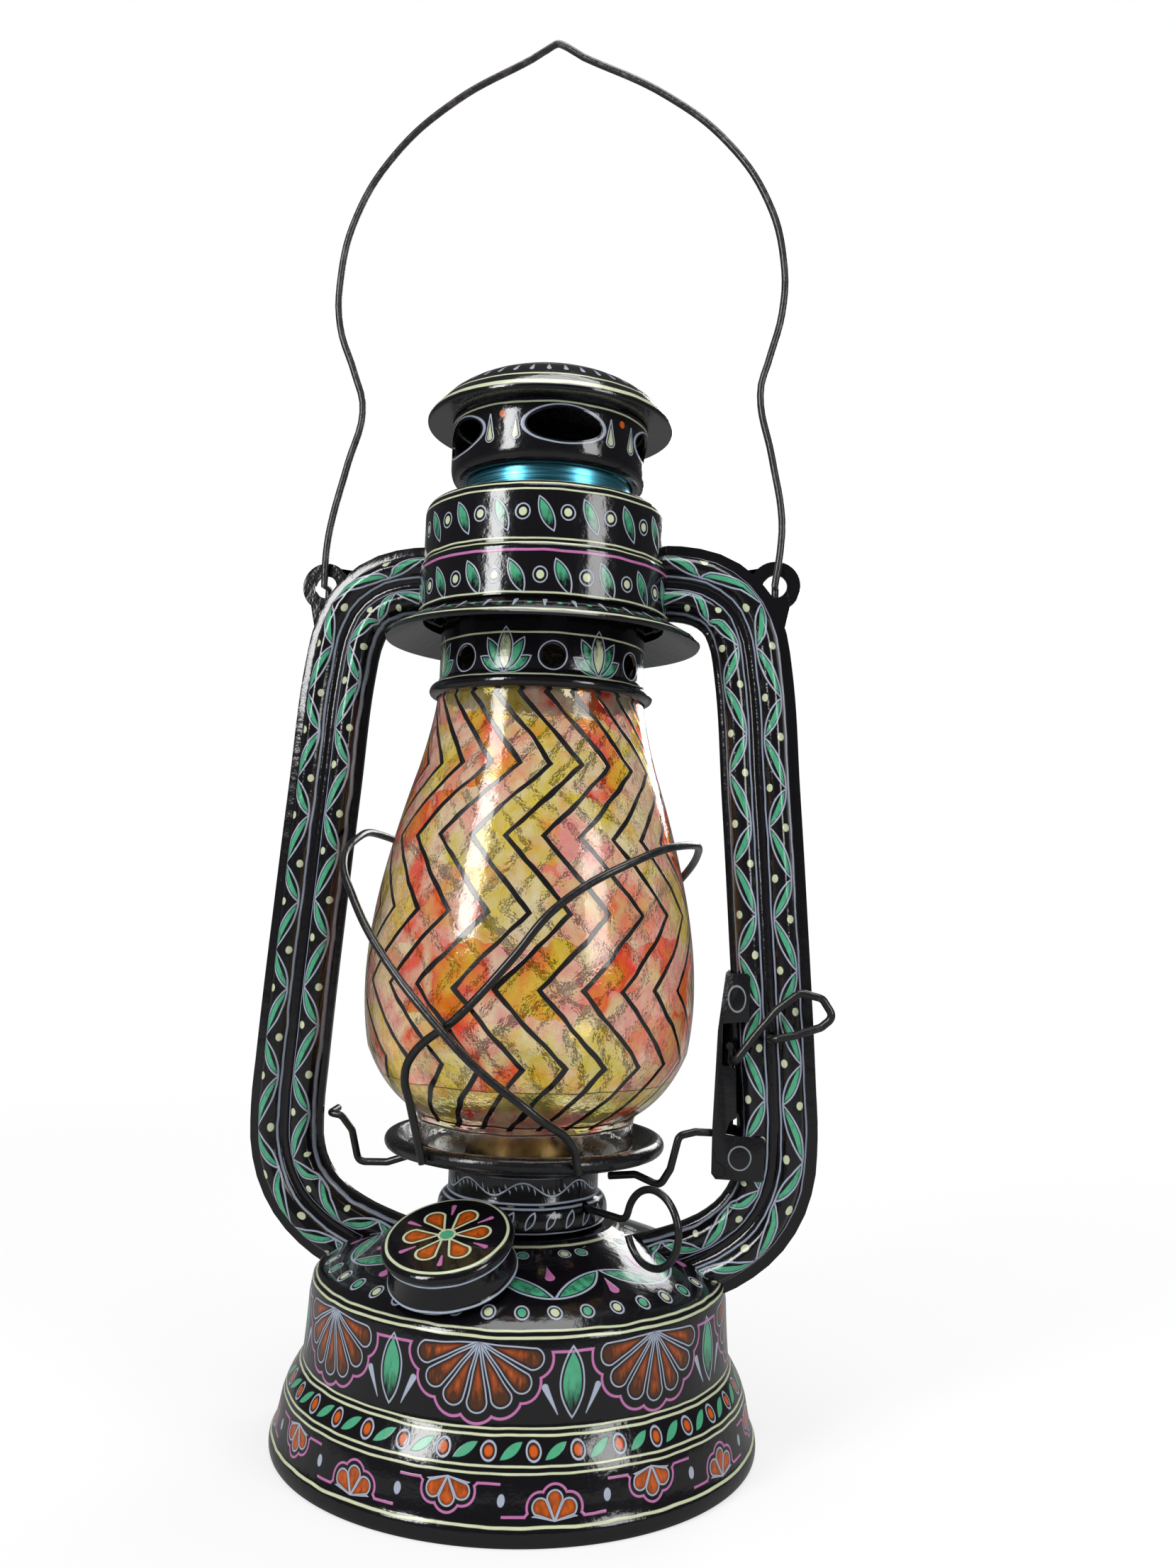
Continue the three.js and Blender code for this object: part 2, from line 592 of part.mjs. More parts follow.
// Globe: a barrel of blown glass, open at both ends
const globeFace = outline(
  [29.1, GLOBE_BASE],
  [29.1, GLOBE_BASE + 8.3],
  [38.4, GLOBE_BASE + 13.5, 43, GLOBE_BASE + 25.8],
  [46.6, GLOBE_TOP - 78.6, 41.2, GLOBE_TOP - 53.6],
  [37.6, GLOBE_TOP - 37.6, 32.6, GLOBE_TOP - 22.6],
  [CHIMNEY_RADIUS + 0.1, GLOBE_TOP - 7.6, CHIMNEY_RADIUS, GLOBE_TOP],
);
add('globe_glass', spin(sheet(globeFace, GLOBE_WALL)), glass);

// Globe plate: dished, with a rolled rim and a ring of air slots
const beadCentre = new THREE.Vector2(PLATE_RADIUS - PLATE_BEAD, PLATE_BASE + 5.4);
const beadArc = Array.from({ length: 7 }, (_, i) => (
  new THREE.Vector2(PLATE_BEAD, 0).rotateAround(new THREE.Vector2(), degToRad(-110 + 41 * i)).add(beadCentre)
));
const plateBore = 17.6;
const plateSlots = Array.from({ length: 12 }, (_, i) => (
  block(3.2, 2.4, 6, 21.2, 0, PLATE_BASE).rotate([0, 0, 30 * i])
));
add('globe_plate', cut(spin([
  ...outline(
    [plateBore, PLATE_BASE], [PLATE_RADIUS - 13.5, PLATE_BASE], [PLATE_RADIUS - 11.1, PLATE_BASE + 2.1],
    [PLATE_RADIUS - 3.9, PLATE_BASE + 2.7],
  ),
  ...beadArc,
  ...outline(
    [PLATE_RADIUS - 6.1, GLOBE_BASE - 0.1], [PLATE_RADIUS - 11.9, GLOBE_BASE - 0.7],
    [PLATE_RADIUS - 14.1, PLATE_BASE + 1.1], [plateBore, PLATE_BASE + 1.1],
  ),
]), ...plateSlots), black);

// Guard wires: two leaning hoops that cross in front and behind,
// [azimuth, radius, height over the plate's base]
const rimFoot = [PLATE_RADIUS + WIRE + PLAY, GLOBE_SEAT - 0.1];
const guardOne = [
  [-29, ...rimFoot], [-30.2, 43.2, 19.2], [-29.4, 46, 25.7], [-26, 47, 31.2], [-9.5, 47, 42.3], [5, 47, 55.7],
  [18, 46.5, 68.7], [46, 46, 81.3], [70, 45.2, 85.3], [100, 44.6, 83.7], [130, 45.6, 73.7], [165, 47.2, 50.7],
  [192, 47.2, 34.7], [210, 45, 23.7], [221, 40.8, 10.7], [222, ...rimFoot],
];
const guardTwo = [
  [31, ...rimFoot], [27, 41.8, 11.3], [14, 49.4, 19.7], [-2, 49.7, 29.7], [-16, 49.8, 40.3],
  [-36, 50.4, 55.7], [-52, 51.4, 68.7], [-68, 51.6, 79.2], [-82, 48.8, 85.3], [-100, 48.2, 86.9],
  [-130, 48.4, 79.2], [-152, 49.8, 63.7], [-180, 50.1, 41.7], [-202, 49.6, 28.2], [-212, 46, 18.7],
  [-218, 40.8, 9.7], [-218.5, ...rimFoot],
];
function guard(stations) {
  const points = stations.map(([azimuth, radius, height]) => {
    const angle = degToRad(azimuth);
    return point(radius * Math.sin(angle), -radius * Math.cos(angle), PLATE_BASE + height);
  });
  return wire(flowing(points, 34));
}
add('guard_wire_a', guard(guardOne), wireBlack);
add('guard_wire_b', guard(guardTwo), wireBlack);

// Lift wires: the left one guides the plate along its tube, the right one runs up inside the bracket
const liftWire = 1;
const overPlate = ([x, y, z]) => point(x, y, PLATE_BASE + z);
add('lift_wire_left', wire(rounded([
  [-24.6, 0, -1.5], [-31, 0, -0.4], [-38, 0, -2.9], [-46.2, 0, -3.3], [-48.4, 0, 5.1],
  [-51.6, 0, 8.9], [-55, 0.2, 9.3], [-55.2, 7.5, 9.6],
].map(overPlate), 2.6), liftWire), wireBlack);
add('lift_wire_right', wire(rounded([
  [23.9, -5.4, -1.5], [31, -7, -0.4], [37.6, -8, -2.7], [40.2, -8, 1.7],
  [42.2, -7.8, 10.3], [46.4, -6.4, 11.3], [52.9, -4.2, 11], [53.1, -3.2, 14.7],
  [54.6, -3.2, 33.6], [54.6, -5.6, 33.7],
].map(overPlate), 2.2), liftWire), wireBlack);

// Bracket folded round the inner lobe of the right tube
const bracketSheet = 0.8;
const bracketFace = lobe + PLAY;
const atPlate = ([x, z]) => [x, PLATE_BASE + z];
const bracketFold = [[50.7, 1.1], [50.7, 12.7], [51.5, 37.7], [53.2, 52.7]].map(atPlate);
const frontTabs = [
  [58.8, 52.7], [59.6, 51.9], [59.6, 40.3], [52.8, 39.5], [52.8, 28.9], [56.4, 28.3],
  [56.9, 15.5], [55.2, 14.5], [54.2, 11.3], [57.6, 10.9], [64.2, 10.9], [64.3, -0.3], [51.8, -0.3],
].map(atPlate);
const backTabs = [
  [58.6, 52.7], [58.6, 40.7], [55.5, 38.7], [55.5, 11.7], [62.5, 10.2], [62.5, 1.1],
].map(atPlate);
const bracketFront = area(...bracketFold, ...frontTabs);
const bracketBack = area(...bracketFold, ...backTabs);
const bracketWeb = area(...bracketFold, ...bracketFold.map(([x, z]) => [x + bracketSheet, z]).reverse());
add('lift_bracket', cut(
  join(
    plate(bracketFront, -bracketFace - bracketSheet, -bracketFace),
    plate(bracketWeb, -bracketFace - bracketSheet / 2, bracketFace + bracketSheet / 2),
    plate(bracketBack, bracketFace, bracketFace + bracketSheet),
  ),
  block(4.4, 4, 12.6, 51, -4.6, PLATE_BASE + 15.3),
), black);

// Lift lever: hooked into the groove of the right tube, with its finger loop outside
const leverDepth = -9;
add('lift_lever', wire(rounded([
  [0, -2.4, 0], [0, leverDepth, 0], [6, leverDepth, 1.4], [12.7, leverDepth, 3.8],
  [15.9, leverDepth, 6.6], [12.9, leverDepth, 11.2], [7.2, leverDepth, 12.4], [1.4, leverDepth, 7.8],
  [-4.6, leverDepth, 0.2], [-9.1, leverDepth, -6.2], [-9.2, -4.9, -6],
].map(([x, y, z]) => point(LEVER_X + x, y, LEVER_HEIGHT + z)), 2.4)), wireBlack);

// Bail: one wire, peaked at the top and nipped in above the ears, its ends hooked through them.
// Its points are [x, height over the ears]
const bailFront = -seam - WIRE - PLAY;
const bailBack = -bailFront;
const bailRight = [
  [64.8, 10], [65, 18], [62, 35], [58.4, 54], [60.6, 63], [63.8, 76], [64, 90], [59.2, 108],
  [47.6, 125.6], [30, 140.4], [6, 153.2],
];
const bailLeft = [
  [-63.4, 10], [-62.4, 18], [-58.4, 35], [-54.6, 51.5], [-57.6, 62], [-62.6, 76], [-63.2, 90],
  [-59.6, 108], [-48.6, 127], [-31, 142.4], [-9, 153.6],
];
const inFront = ([x, z]) => point(x, bailFront, EAR_HEIGHT + z);
const hook = (x) => [
  point(x, bailBack, EAR_HEIGHT - 6.2), point(x, bailBack, EAR_HEIGHT), point(x, bailFront, EAR_HEIGHT),
];
const leftLeg = flowing([...hook(-EAR_X).slice(2), ...bailLeft.map(inFront)], 17);
const rightLeg = flowing([...hook(EAR_X).slice(2), ...bailRight.map(inFront)], 17);
const bailPeak = rounded([[-4, 156.6], [-1.6, 158], [1, 156.6]].map(inFront), 2, 2);
add('bail_wire', wire([
  ...hook(-EAR_X).slice(0, 2), ...leftLeg, ...bailPeak,
  ...rightLeg.reverse(), ...hook(EAR_X).slice(0, 2).reverse(),
]), wireBlack);

export default lantern;
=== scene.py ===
# Hand-painted oil lantern. Everything is in metres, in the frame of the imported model: +Z is up, and the side
# tubes stand along X.
import math

import bpy
from mathutils import Matrix, Vector


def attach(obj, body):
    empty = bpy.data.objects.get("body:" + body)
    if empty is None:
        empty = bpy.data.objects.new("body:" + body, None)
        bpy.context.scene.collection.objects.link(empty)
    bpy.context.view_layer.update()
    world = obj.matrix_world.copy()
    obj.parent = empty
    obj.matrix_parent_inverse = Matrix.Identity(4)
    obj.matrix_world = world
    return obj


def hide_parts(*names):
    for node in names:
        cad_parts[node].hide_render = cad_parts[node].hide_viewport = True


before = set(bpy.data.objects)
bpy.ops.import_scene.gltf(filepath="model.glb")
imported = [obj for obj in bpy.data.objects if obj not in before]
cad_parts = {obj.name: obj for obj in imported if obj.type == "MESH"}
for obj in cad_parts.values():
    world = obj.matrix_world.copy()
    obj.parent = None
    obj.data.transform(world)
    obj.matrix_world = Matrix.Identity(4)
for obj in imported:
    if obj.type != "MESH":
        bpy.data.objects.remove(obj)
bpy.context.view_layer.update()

# Studio
# A pale sheet of paper under the lantern and a white room, lit by four soft boxes: a tall one at the left
# of the camera, weaker ones at the right and behind, and one above.
MM = 0.001
CAMERA_TURN = math.radians(11.0)
CAMERA_PAN = 0.0374
CAMERA_PITCH = 0.0795
CAMERA_ROLL = 0.0338
CAMERA_AWAY = 0.3697
CAMERA_HEIGHT = 0.144
FOCAL_PIXELS = 1898.4
PHOTO_HEIGHT = 2212
SENSOR = 36
ROOM_LIGHT = 0.32
ROOM_IN_GLOSS = 0.08

turn = Matrix.Rotation(CAMERA_TURN, 3, 'Z')
forward = turn @ Vector((
    math.sin(CAMERA_PAN) * math.cos(CAMERA_PITCH),
    math.cos(CAMERA_PAN) * math.cos(CAMERA_PITCH),
    math.sin(CAMERA_PITCH),
))
level = turn @ Vector((math.cos(CAMERA_PAN), -math.sin(CAMERA_PAN), 0))
upward = level.cross(forward)
right = level * math.cos(CAMERA_ROLL) + upward * math.sin(CAMERA_ROLL)
upward = upward * math.cos(CAMERA_ROLL) - level * math.sin(CAMERA_ROLL)
bpy.ops.object.camera_add()
camera = bpy.context.object
camera.matrix_world = Matrix.Translation(turn @ Vector((0, -CAMERA_AWAY, CAMERA_HEIGHT))) @ Matrix(
    (right, upward, -forward)).transposed().to_4x4()
camera.data.sensor_width = SENSOR
camera.data.lens = SENSOR * FOCAL_PIXELS / PHOTO_HEIGHT
camera.data.clip_start = 0.01
bpy.context.scene.camera = camera
bpy.context.scene.view_settings.view_transform = 'Standard'


def soft_box(name, place, aim, width, height, watts):
    bpy.ops.object.light_add(type='AREA', location=place)
    lamp = bpy.context.object
    lamp.name = name
    lamp.data.shape = 'RECTANGLE'
    lamp.data.size = width
    lamp.data.size_y = height
    lamp.data.energy = watts
    lamp.rotation_euler = (Vector(aim) - Vector(place)).to_track_quat('-Z', 'Y').to_euler()


soft_box("left box", (-0.62, -0.85, 0.62), (0, 0, 0.17), 0.28, 0.6, 7.5)
soft_box("right box", (0.85, -0.55, 0.45), (0, 0, 0.16), 0.3, 0.5, 3.2)
soft_box("top box", (0.05, -0.1, 1.1), (0, 0, 0.2), 0.7, 0.7, 6.5)
soft_box("back box", (0.3, 0.95, 0.6), (0, 0, 0.18), 0.5, 0.5, 4)


class Number:
    """A shader value, whose Python operators add Math nodes."""

    def __init__(self, nodes, socket):
        self.nodes = nodes
        self.socket = socket

    def __add__(self, other):
        return self.nodes.math('ADD', self, other)

    __radd__ = __add__

    def __sub__(self, other):
        return self.nodes.math('SUBTRACT', self, other)

    def __rsub__(self, other):
        return self.nodes.math('SUBTRACT', other, self)

    def __mul__(self, other):
        return self.nodes.math('MULTIPLY', self, other)

    __rmul__ = __mul__

    def __truediv__(self, other):
        return self.nodes.math('DIVIDE', self, other)

    def __neg__(self):
        return self.nodes.math('MULTIPLY', self, -1)

    def __gt__(self, other):
        return self.nodes.math('GREATER_THAN', self, other)

    def __lt__(self, other):
        return self.nodes.math('LESS_THAN', self, other)

    def __abs__(self):
        return self.nodes.math('ABSOLUTE', self)


def colour(red, green, blue):
    """A colour as it looks, from 0 to 255, for a shader."""
    parts = [part / 255 for part in (red, green, blue)]
    return tuple(p / 12.92 if p <= 0.04045 else ((p + 0.055) / 1.055) ** 2.4 for p in parts) + (1.0,)


class Nodes:
    """The nodes of a material or a world, which are added one by one."""

    def __init__(self, owner):
        owner.use_nodes = True
        self.tree = owner.node_tree
        self.tree.nodes.clear()

    def node(self, kind, settings=None, inputs=None):
        """A node, whose settings are set before its sockets are fed."""
        node = self.tree.nodes.new(kind)
        for key, value in (settings or {}).items():
            if key == 'stops':
                ramp = node.color_ramp
                while len(ramp.elements) < len(value):
                    ramp.elements.new(0.5)
                for element, (position, shade) in zip(ramp.elements, value):
                    element.position = position
                    element.color = shade
            else:
                setattr(node, key, value)
        for key, value in (inputs or {}).items():
            self.feed(node.inputs[key], value)
        return node

    def feed(self, socket, value):
        if isinstance(value, Number):
            value = value.socket
        if isinstance(value, bpy.types.NodeSocket):
            self.tree.links.new(value, socket)
        else:
            socket.default_value = value

    def math(self, operation, *values, clamp=False):
        settings = {'operation': operation, 'use_clamp': clamp}
        node = self.node('ShaderNodeMath', settings, dict(enumerate(values)))
        return Number(self, node.outputs[0])

    def vector(self, operation, *values, scale=None):
        node = self.node('ShaderNodeVectorMath', {'operation': operation}, dict(enumerate(values)))
        if scale is not None:
            self.feed(node.inputs['Scale'], scale)
        return node.outputs[0]

    def mix(self, mask, under, over):
        node = self.node('ShaderNodeMix', {'data_type': 'RGBA'}, {0: mask, 6: under, 7: over})
        return node.outputs[2]

    def noise(self, at, scale, detail=2.0, roughness=0.5, output=0):
        inputs = {'Vector': at, 'Scale': scale, 'Detail': detail, 'Roughness': roughness}
        return Number(self, self.node('ShaderNodeTexNoise', {}, inputs).outputs[output])

    def tones(self, value, *stops):
        """A colour picked by a value, from stops of a position and a colour."""
        return self.node('ShaderNodeValToRGB', {'stops': stops}, {0: value}).outputs[0]


class Finish(Nodes):
    """A material with one surface, and what is given to its sockets."""

    def __init__(self, name, **sockets):
        self.material = bpy.data.materials.new(name)
        super().__init__(self.material)
        self.surface = self.node('ShaderNodeBsdfPrincipled', {}, sockets)
        self.output = self.node('ShaderNodeOutputMaterial', {}, {'Surface': self.surface.outputs[0]})

    def give(self, socket, value):
        self.feed(self.surface.inputs[socket], value)

    def bump(self, height, strength, distance):
        """Gives the surface a relief, its distance in millimetres."""
        inputs = {'Strength': strength, 'Distance': distance * MM, 'Height': height}
        self.give('Normal', self.node('ShaderNodeBump', {}, inputs).outputs[0])

    def millimetres(self, uv_map=None):
        """The place on the object, or on a UV map of its own, in millimetres."""
        if uv_map is None:
            source = self.node('ShaderNodeTexCoord').outputs['Object']
        else:
            source = self.node('ShaderNodeUVMap', {'uv_map': uv_map}).outputs[0]
        return self.vector('SCALE', source, scale=1 / MM)


# The paper glows for the camera and through glass, less near the lantern and in reflections
paper = Finish("paper", **{'Base Color': colour(236, 236, 236), 'Roughness': 0.9})
path = paper.node('ShaderNodeLightPath').outputs
through = path['Is Transmission Ray']
mirrored = paper.math('SUBTRACT', path['Is Glossy Ray'], through, clamp=True)
glow = paper.node('ShaderNodeEmission', {}, {'Color': (1, 1, 1, 1), 'Strength': 1.0 - mirrored * 0.9})
place = paper.node('ShaderNodeTexCoord').outputs['Object']
away = paper.node('ShaderNodeVectorMath', {'operation': 'LENGTH'}, {0: place}).outputs['Value']
bright = paper.math('MINIMUM', Number(paper, away) * 0.55 + 0.66, 1.0)
seen = paper.math('MAXIMUM', path['Is Camera Ray'], through) * bright
seen = paper.math('MAXIMUM', seen, mirrored * 0.75)
blend = paper.node('ShaderNodeMixShader', {}, {0: seen, 1: paper.surface.outputs[0], 2: glow.outputs[0]})
paper.feed(paper.output.inputs['Surface'], blend.outputs[0])
bpy.ops.mesh.primitive_plane_add(size=60, location=(0, 0, 0))
floor = bpy.context.object
floor.name = "floor"
floor.data.materials.append(paper.material)

world = bpy.data.worlds.new("white room")
bpy.context.scene.world = world
room = Nodes(world)
rays = room.node('ShaderNodeLightPath').outputs
direct = room.math('MAXIMUM', rays['Is Camera Ray'], rays['Is Transmission Ray'])
lit = Number(room, rays['Is Glossy Ray']) * (ROOM_IN_GLOSS - ROOM_LIGHT) + ROOM_LIGHT
strength = room.math('MAXIMUM', direct, lit)
air = room.node('ShaderNodeBackground', {}, {'Color': (1, 1, 1, 1), 'Strength': strength})
room.node('ShaderNodeOutputWorld', {}, {'Surface': air.outputs[0]})

# Fuel tank
# One raised steel shell: rolled foot rim, flared band, wall, soldered shoulder and dome. It is dipped in
# black enamel and then painted by hand with a fine brush, so its lines wander a little and stand proud.
BLACK = colour(13, 11, 15)
CREAM = colour(190, 198, 164)
PALE = colour(156, 165, 182)
MINT = colour(70, 156, 118)
PINK = colour(176, 104, 156)
ORANGE = colour(190, 84, 18)
BROWN = colour(88, 46, 12)


class Paint(Finish):
    """Gloss enamel with motifs painted on it. Lengths are in millimetres."""

    def __init__(self, name, ground=BLACK, wobble=0.3, roughness=0.1, lumps=0.25, uv_map=None):
        super().__init__(name)
        self.ground = ground
        self.still = self.millimetres(uv_map)
        drift = self.noise(self.still, 0.11, 1, output='Color')
        drift = self.vector('SUBTRACT', drift, (0.5, 0.5, 0.5))
        self.place = self.vector('MULTIPLY_ADD', drift, (2 * wobble,) * 3, self.still)
        self.split()
        self.shade = ground
        self.relief = 0
        self.gloss = roughness
        self.lumps = lumps

    def split(self):
        parts = self.node('ShaderNodeSeparateXYZ', {}, {0: self.place})
        self.x, self.y, self.z = [Number(self, socket) for socket in parts.outputs]

    def centre(self, place, turned_by):
        """Puts the pattern's origin at a place on the object and turns it."""
        settings = {'vector_type': 'TEXTURE'}
        inputs = {'Vector': self.place, 'Location': place, 'Rotation': turned_by}
        self.place = self.node('ShaderNodeMapping', settings, inputs).outputs[0]
        self.split()

    def azimuth(self):
        return self.math('ARCTAN2', self.x, -self.y)

    def radius(self):
        return self.math('SQRT', self.x * self.x + self.y * self.y)

    def wrap(self, value, period, phase=0.0):
        return self.math('WRAP', value - phase, period / 2, -period / 2)

    def ring(self, count, phase, radius):
        """The way round a turned surface from the nearest of so many like places."""
        return self.wrap(self.azimuth(), 2 * math.pi / count, math.radians(phase)) * radius

    def inside(self, depth, soft=0.16):
        """The mask of a shape from the depth inside it, with an edge of a given softness."""
        return self.math('MULTIPLY_ADD', depth, 1 / soft, 0.5, clamp=True)

    def line(self, depth, half=0.3):
        """The mask of a line along the edge of a shape."""
        return self.inside(half - abs(depth))

    def lines(self, value, *places, half=0.28):
        """The mask of lines where a value has one of some levels."""
        whole = None
        for place in places:
            one = self.line(value - place, half)
            whole = one if whole is None else self.either(whole, one)
        return whole

    def either(self, a, b):
        return self.math('MAXIMUM', a, b)

    def both(self, mask, *others):
        """Where the masks overlap."""
        for other in others:
            mask = self.math('MINIMUM', mask, other)
        return mask

    def between(self, value, low, high):
        return self.math('COMPARE', value, (low + high) / 2, (high - low) / 2)

    def tilt(self, u, v, degrees):
        """The same place along and across a line turned by an angle from v towards u."""
        c, s = math.cos(math.radians(degrees)), math.sin(math.radians(degrees))
        return v * c + u * s, u * c - v * s

    def leaf(self, along, across, length, half):
        """Depth inside a leaf that is pointed at both ends and starts at 0."""
        bulge = (length * length / 4 - half * half) / (2 * half)
        out = abs(across) + bulge
        middle = along - length / 2
        return (bulge + half) - self.math('SQRT', out * out + middle * middle)

    def drop(self, along, across, length, half, tip=0.0):
        """Depth inside a petal or a brush dab that widens from 0 to a round end."""
        reach = self.math('DIVIDE', along, length - half, clamp=True)
        rest = along - reach * (length - half)
        return reach * (half - tip) + tip - self.math('SQRT', rest * rest + across * across)

    def oval(self, u, v, wide, high):
        """Depth inside an oval round 0, from half its width and half its height."""
        a, b = u / wide, v / high
        return (1 - self.math('SQRT', a * a + b * b)) * min(wide, high)

    def fan(self, u, v, step, phase=0.0):
        """Along and across the nearest of the petals that stand round a point."""
        angle = self.math('ARCTAN2', u, v)
        away = self.math('SQRT', u * u + v * v)
        near = self.wrap(angle, math.radians(step), math.radians(phase))
        return away * self.math('COSINE', near), away * self.math('SINE', near), angle

    def streaks(self, stretch, amount=0.5, offset=0.0):
        """Ragged brush marks, drawn out along one direction."""
        at = self.vector('MULTIPLY', self.still, stretch)
        return self.noise(at, 1.0, 3, 0.6) * (2 * amount) + (offset - amount)

    def lay(self, shade, mask, height=1.0):
        """Puts a colour on the paint so far, and its height on the relief."""
        self.shade = self.mix(mask, self.shade, shade)
        self.relief = self.math('MAXIMUM', mask * height, self.relief)

    def done(self, thickness=0.05):
        """Joins the colour, the gloss and the height of the paint to the enamel."""
        bare = self.shade is self.ground
        mottled = self.noise(self.still, 0.5, 3) * 0.3 + 0.84
        self.give('Base Color', self.vector('SCALE', self.shade[:3] if bare else self.shade, scale=mottled))
        dulled = self.math('MULTIPLY_ADD', self.relief, 0.14, self.gloss)
        self.give('Roughness', self.noise(self.still, 2.6, 2) * 0.08 + dulled)
        self.give('Coat Weight', 0.35)
        self.give('Coat Roughness', 0.03)
        peel = self.noise(self.still, 0.33, 2) * self.lumps
        grain = self.noise(self.still, 1.9, 1) * (0.16 * self.lumps)
        self.bump(self.math('MULTIPLY_ADD', self.relief, thickness, peel + grain), 0.55, 1)
        return self.material


def trace(*steps, n=8):
    """A profile in millimetres from corners (x, y) and curves (control x, control y, x, y)."""
    points = [Vector(steps[0])]
    for step in steps[1:]:
        if len(step) == 2:
            points.append(Vector(step))
            continue
        start, pull, end = points[-1], Vector(step[:2]), Vector(step[2:])
        for i in range(1, n + 1):
            t = i / n
            points.append(start.lerp(pull, t).lerp(pull.lerp(end, t), t))
    return points


def bead(x, y, radius, start, end, n=10):
    """Points of an arc, its angles in degrees from the x axis."""
    angles = [math.radians(start + (end - start) * i / n) for i in range(n + 1)]
    return [Vector((x + radius * math.cos(a), y + radius * math.sin(a))) for a in angles]


def alone(piece):
    """Selects one piece and nothing else."""
    bpy.ops.object.select_all(action='DESELECT')
    piece.select_set(True)
    bpy.context.view_layer.objects.active = piece


def modify(piece, kind, **settings):
    """Adds a modifier and applies it."""
    alone(piece)
    bpy.ops.object.modifier_add(type=kind)
    modifier = piece.modifiers[-1]
    for key, value in settings.items():
        setattr(modifier, key, value)
    bpy.ops.object.modifier_apply(modifier=modifier.name)


def drawn(name, corners):
    """A new piece that is one line of edges through corners in millimetres. It stays in edit mode."""
    bpy.ops.object.select_all(action='DESELECT')
    bpy.ops.mesh.primitive_plane_add(size=MM, location=(0, 0, 0))
    piece = bpy.context.object
    piece.name = piece.data.name = name
    bpy.ops.object.mode_set(mode='EDIT')
    bpy.ops.mesh.select_all(action='SELECT')
    bpy.ops.mesh.merge(type='CENTER')
    bpy.ops.transform.translate(value=[part * MM for part in corners[0]])
    for here, there in zip(corners, corners[1:]):
        move = [(b - a) * MM for a, b in zip(here, there)]
        bpy.ops.mesh.extrude_vertices_move(TRANSFORM_OT_translate={'value': move})
    bpy.ops.mesh.select_all(action='SELECT')
    return piece


def turned(name, profile, wall=0.0, steps=144):
    """A sheet turned round the upright axis from the radii and heights of its outer face."""
    piece = drawn(name, [(p.x, 0, p.y) for p in profile])
    bpy.ops.mesh.spin(steps=steps, angle=2 * math.pi, center=(0, 0, 0), axis=(0, 0, 1))
    bpy.ops.mesh.select_all(action='SELECT')
    bpy.ops.mesh.remove_doubles(threshold=0.002 * MM)
    bpy.ops.mesh.normals_make_consistent(inside=False)
    bpy.ops.object.mode_set(mode='OBJECT')
    if wall:
        modify(piece, 'SOLIDIFY', thickness=wall * MM, offset=-1, use_even_offset=True)
    return piece


LAID_DOWN = math.radians(90)


def cylinder(radius, depth, place, turned_by=(0, 0, 0), sides=48):
    """A round bar by its size and middle in millimetres, to cut with."""
    bpy.ops.object.select_all(action='DESELECT')
    bpy.ops.mesh.primitive_cylinder_add(
        vertices=sides, radius=radius * MM, depth=depth * MM, location=Vector(place) * MM, rotation=turned_by)
    return bpy.context.object


def bore(piece, *cutters):
    """Cuts holes and takes the cutters away."""
    for cutter in cutters:
        modify(piece, 'BOOLEAN', object=cutter, solver='EXACT')
        bpy.data.objects.remove(cutter)


def settle(piece, turned_by=None, place=None):
    """Turns a piece and moves it, in millimetres, and puts that into its mesh."""
    alone(piece)
    if turned_by is not None:
        piece.rotation_euler = turned_by
    if place is not None:
        piece.location = Vector(place) * MM
    bpy.ops.object.transform_apply(location=True, rotation=True, scale=True)


def fit(piece, body, nodes, material, angle=35):
    """Gives a finished piece its material and its place in the frame."""
    alone(piece)
    bpy.ops.object.shade_smooth_by_angle(angle=math.radians(angle))
    piece.data.materials.clear()
    piece.data.materials.append(material)
    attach(piece, body)
    if nodes:
        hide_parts(*nodes)


def lined(piece, material, centre):
    """Gives the faces of a shell that look towards a height on the axis their own material."""
    piece.data.materials.append(material)
    for face in piece.data.polygons:
        if face.normal.dot(face.center - Vector((0, 0, centre * MM))) < 0:
            face.material_index = 1


FILLER_TURN = (math.radians(22), 0, math.radians(-13))
FILLER_PLACE = Vector((-9.785, -42.385, 61.2))
shell = trace(
    (60.6, 0.0), (62.7, 0.0), (63.5, 0.2, 63.5, 2.2), (63.5, 4.0, 62.7, 4.7), (62.0, 6.4, 61.4, 9.5),
    (60.7, 13.2), (60.1, 15.0), (59.4, 17.3, 56.4, 22.0), (56.0, 22.7), (55.3, 30.0, 55.0, 38.0),
    (54.5, 41.4), (54.3, 42.4), (52.0, 46.2, 40.0, 50.4), (32.5, 53.1, 26.5, 54.8), (24.6, 56.0),
    (17.0, 56.3),
)
tank = turned("tank", shell, wall=1.0, steps=180)
neck_hole = cylinder(12.8, 30, FILLER_PLACE + Vector((1.6, 6.9, -17.6)), FILLER_TURN)
bore(tank, neck_hole)

FLOWERS = 8
WALL_PHASE = 2.0
SEEDS = 36
SEED_HEIGHT = 18.9
FOOT_RADIUS = 61.8
enamel = Paint("tank enamel", wobble=0.35)
z = enamel.z
r = enamel.radius()
on_wall = enamel.between(z, 22.0, 42.6)

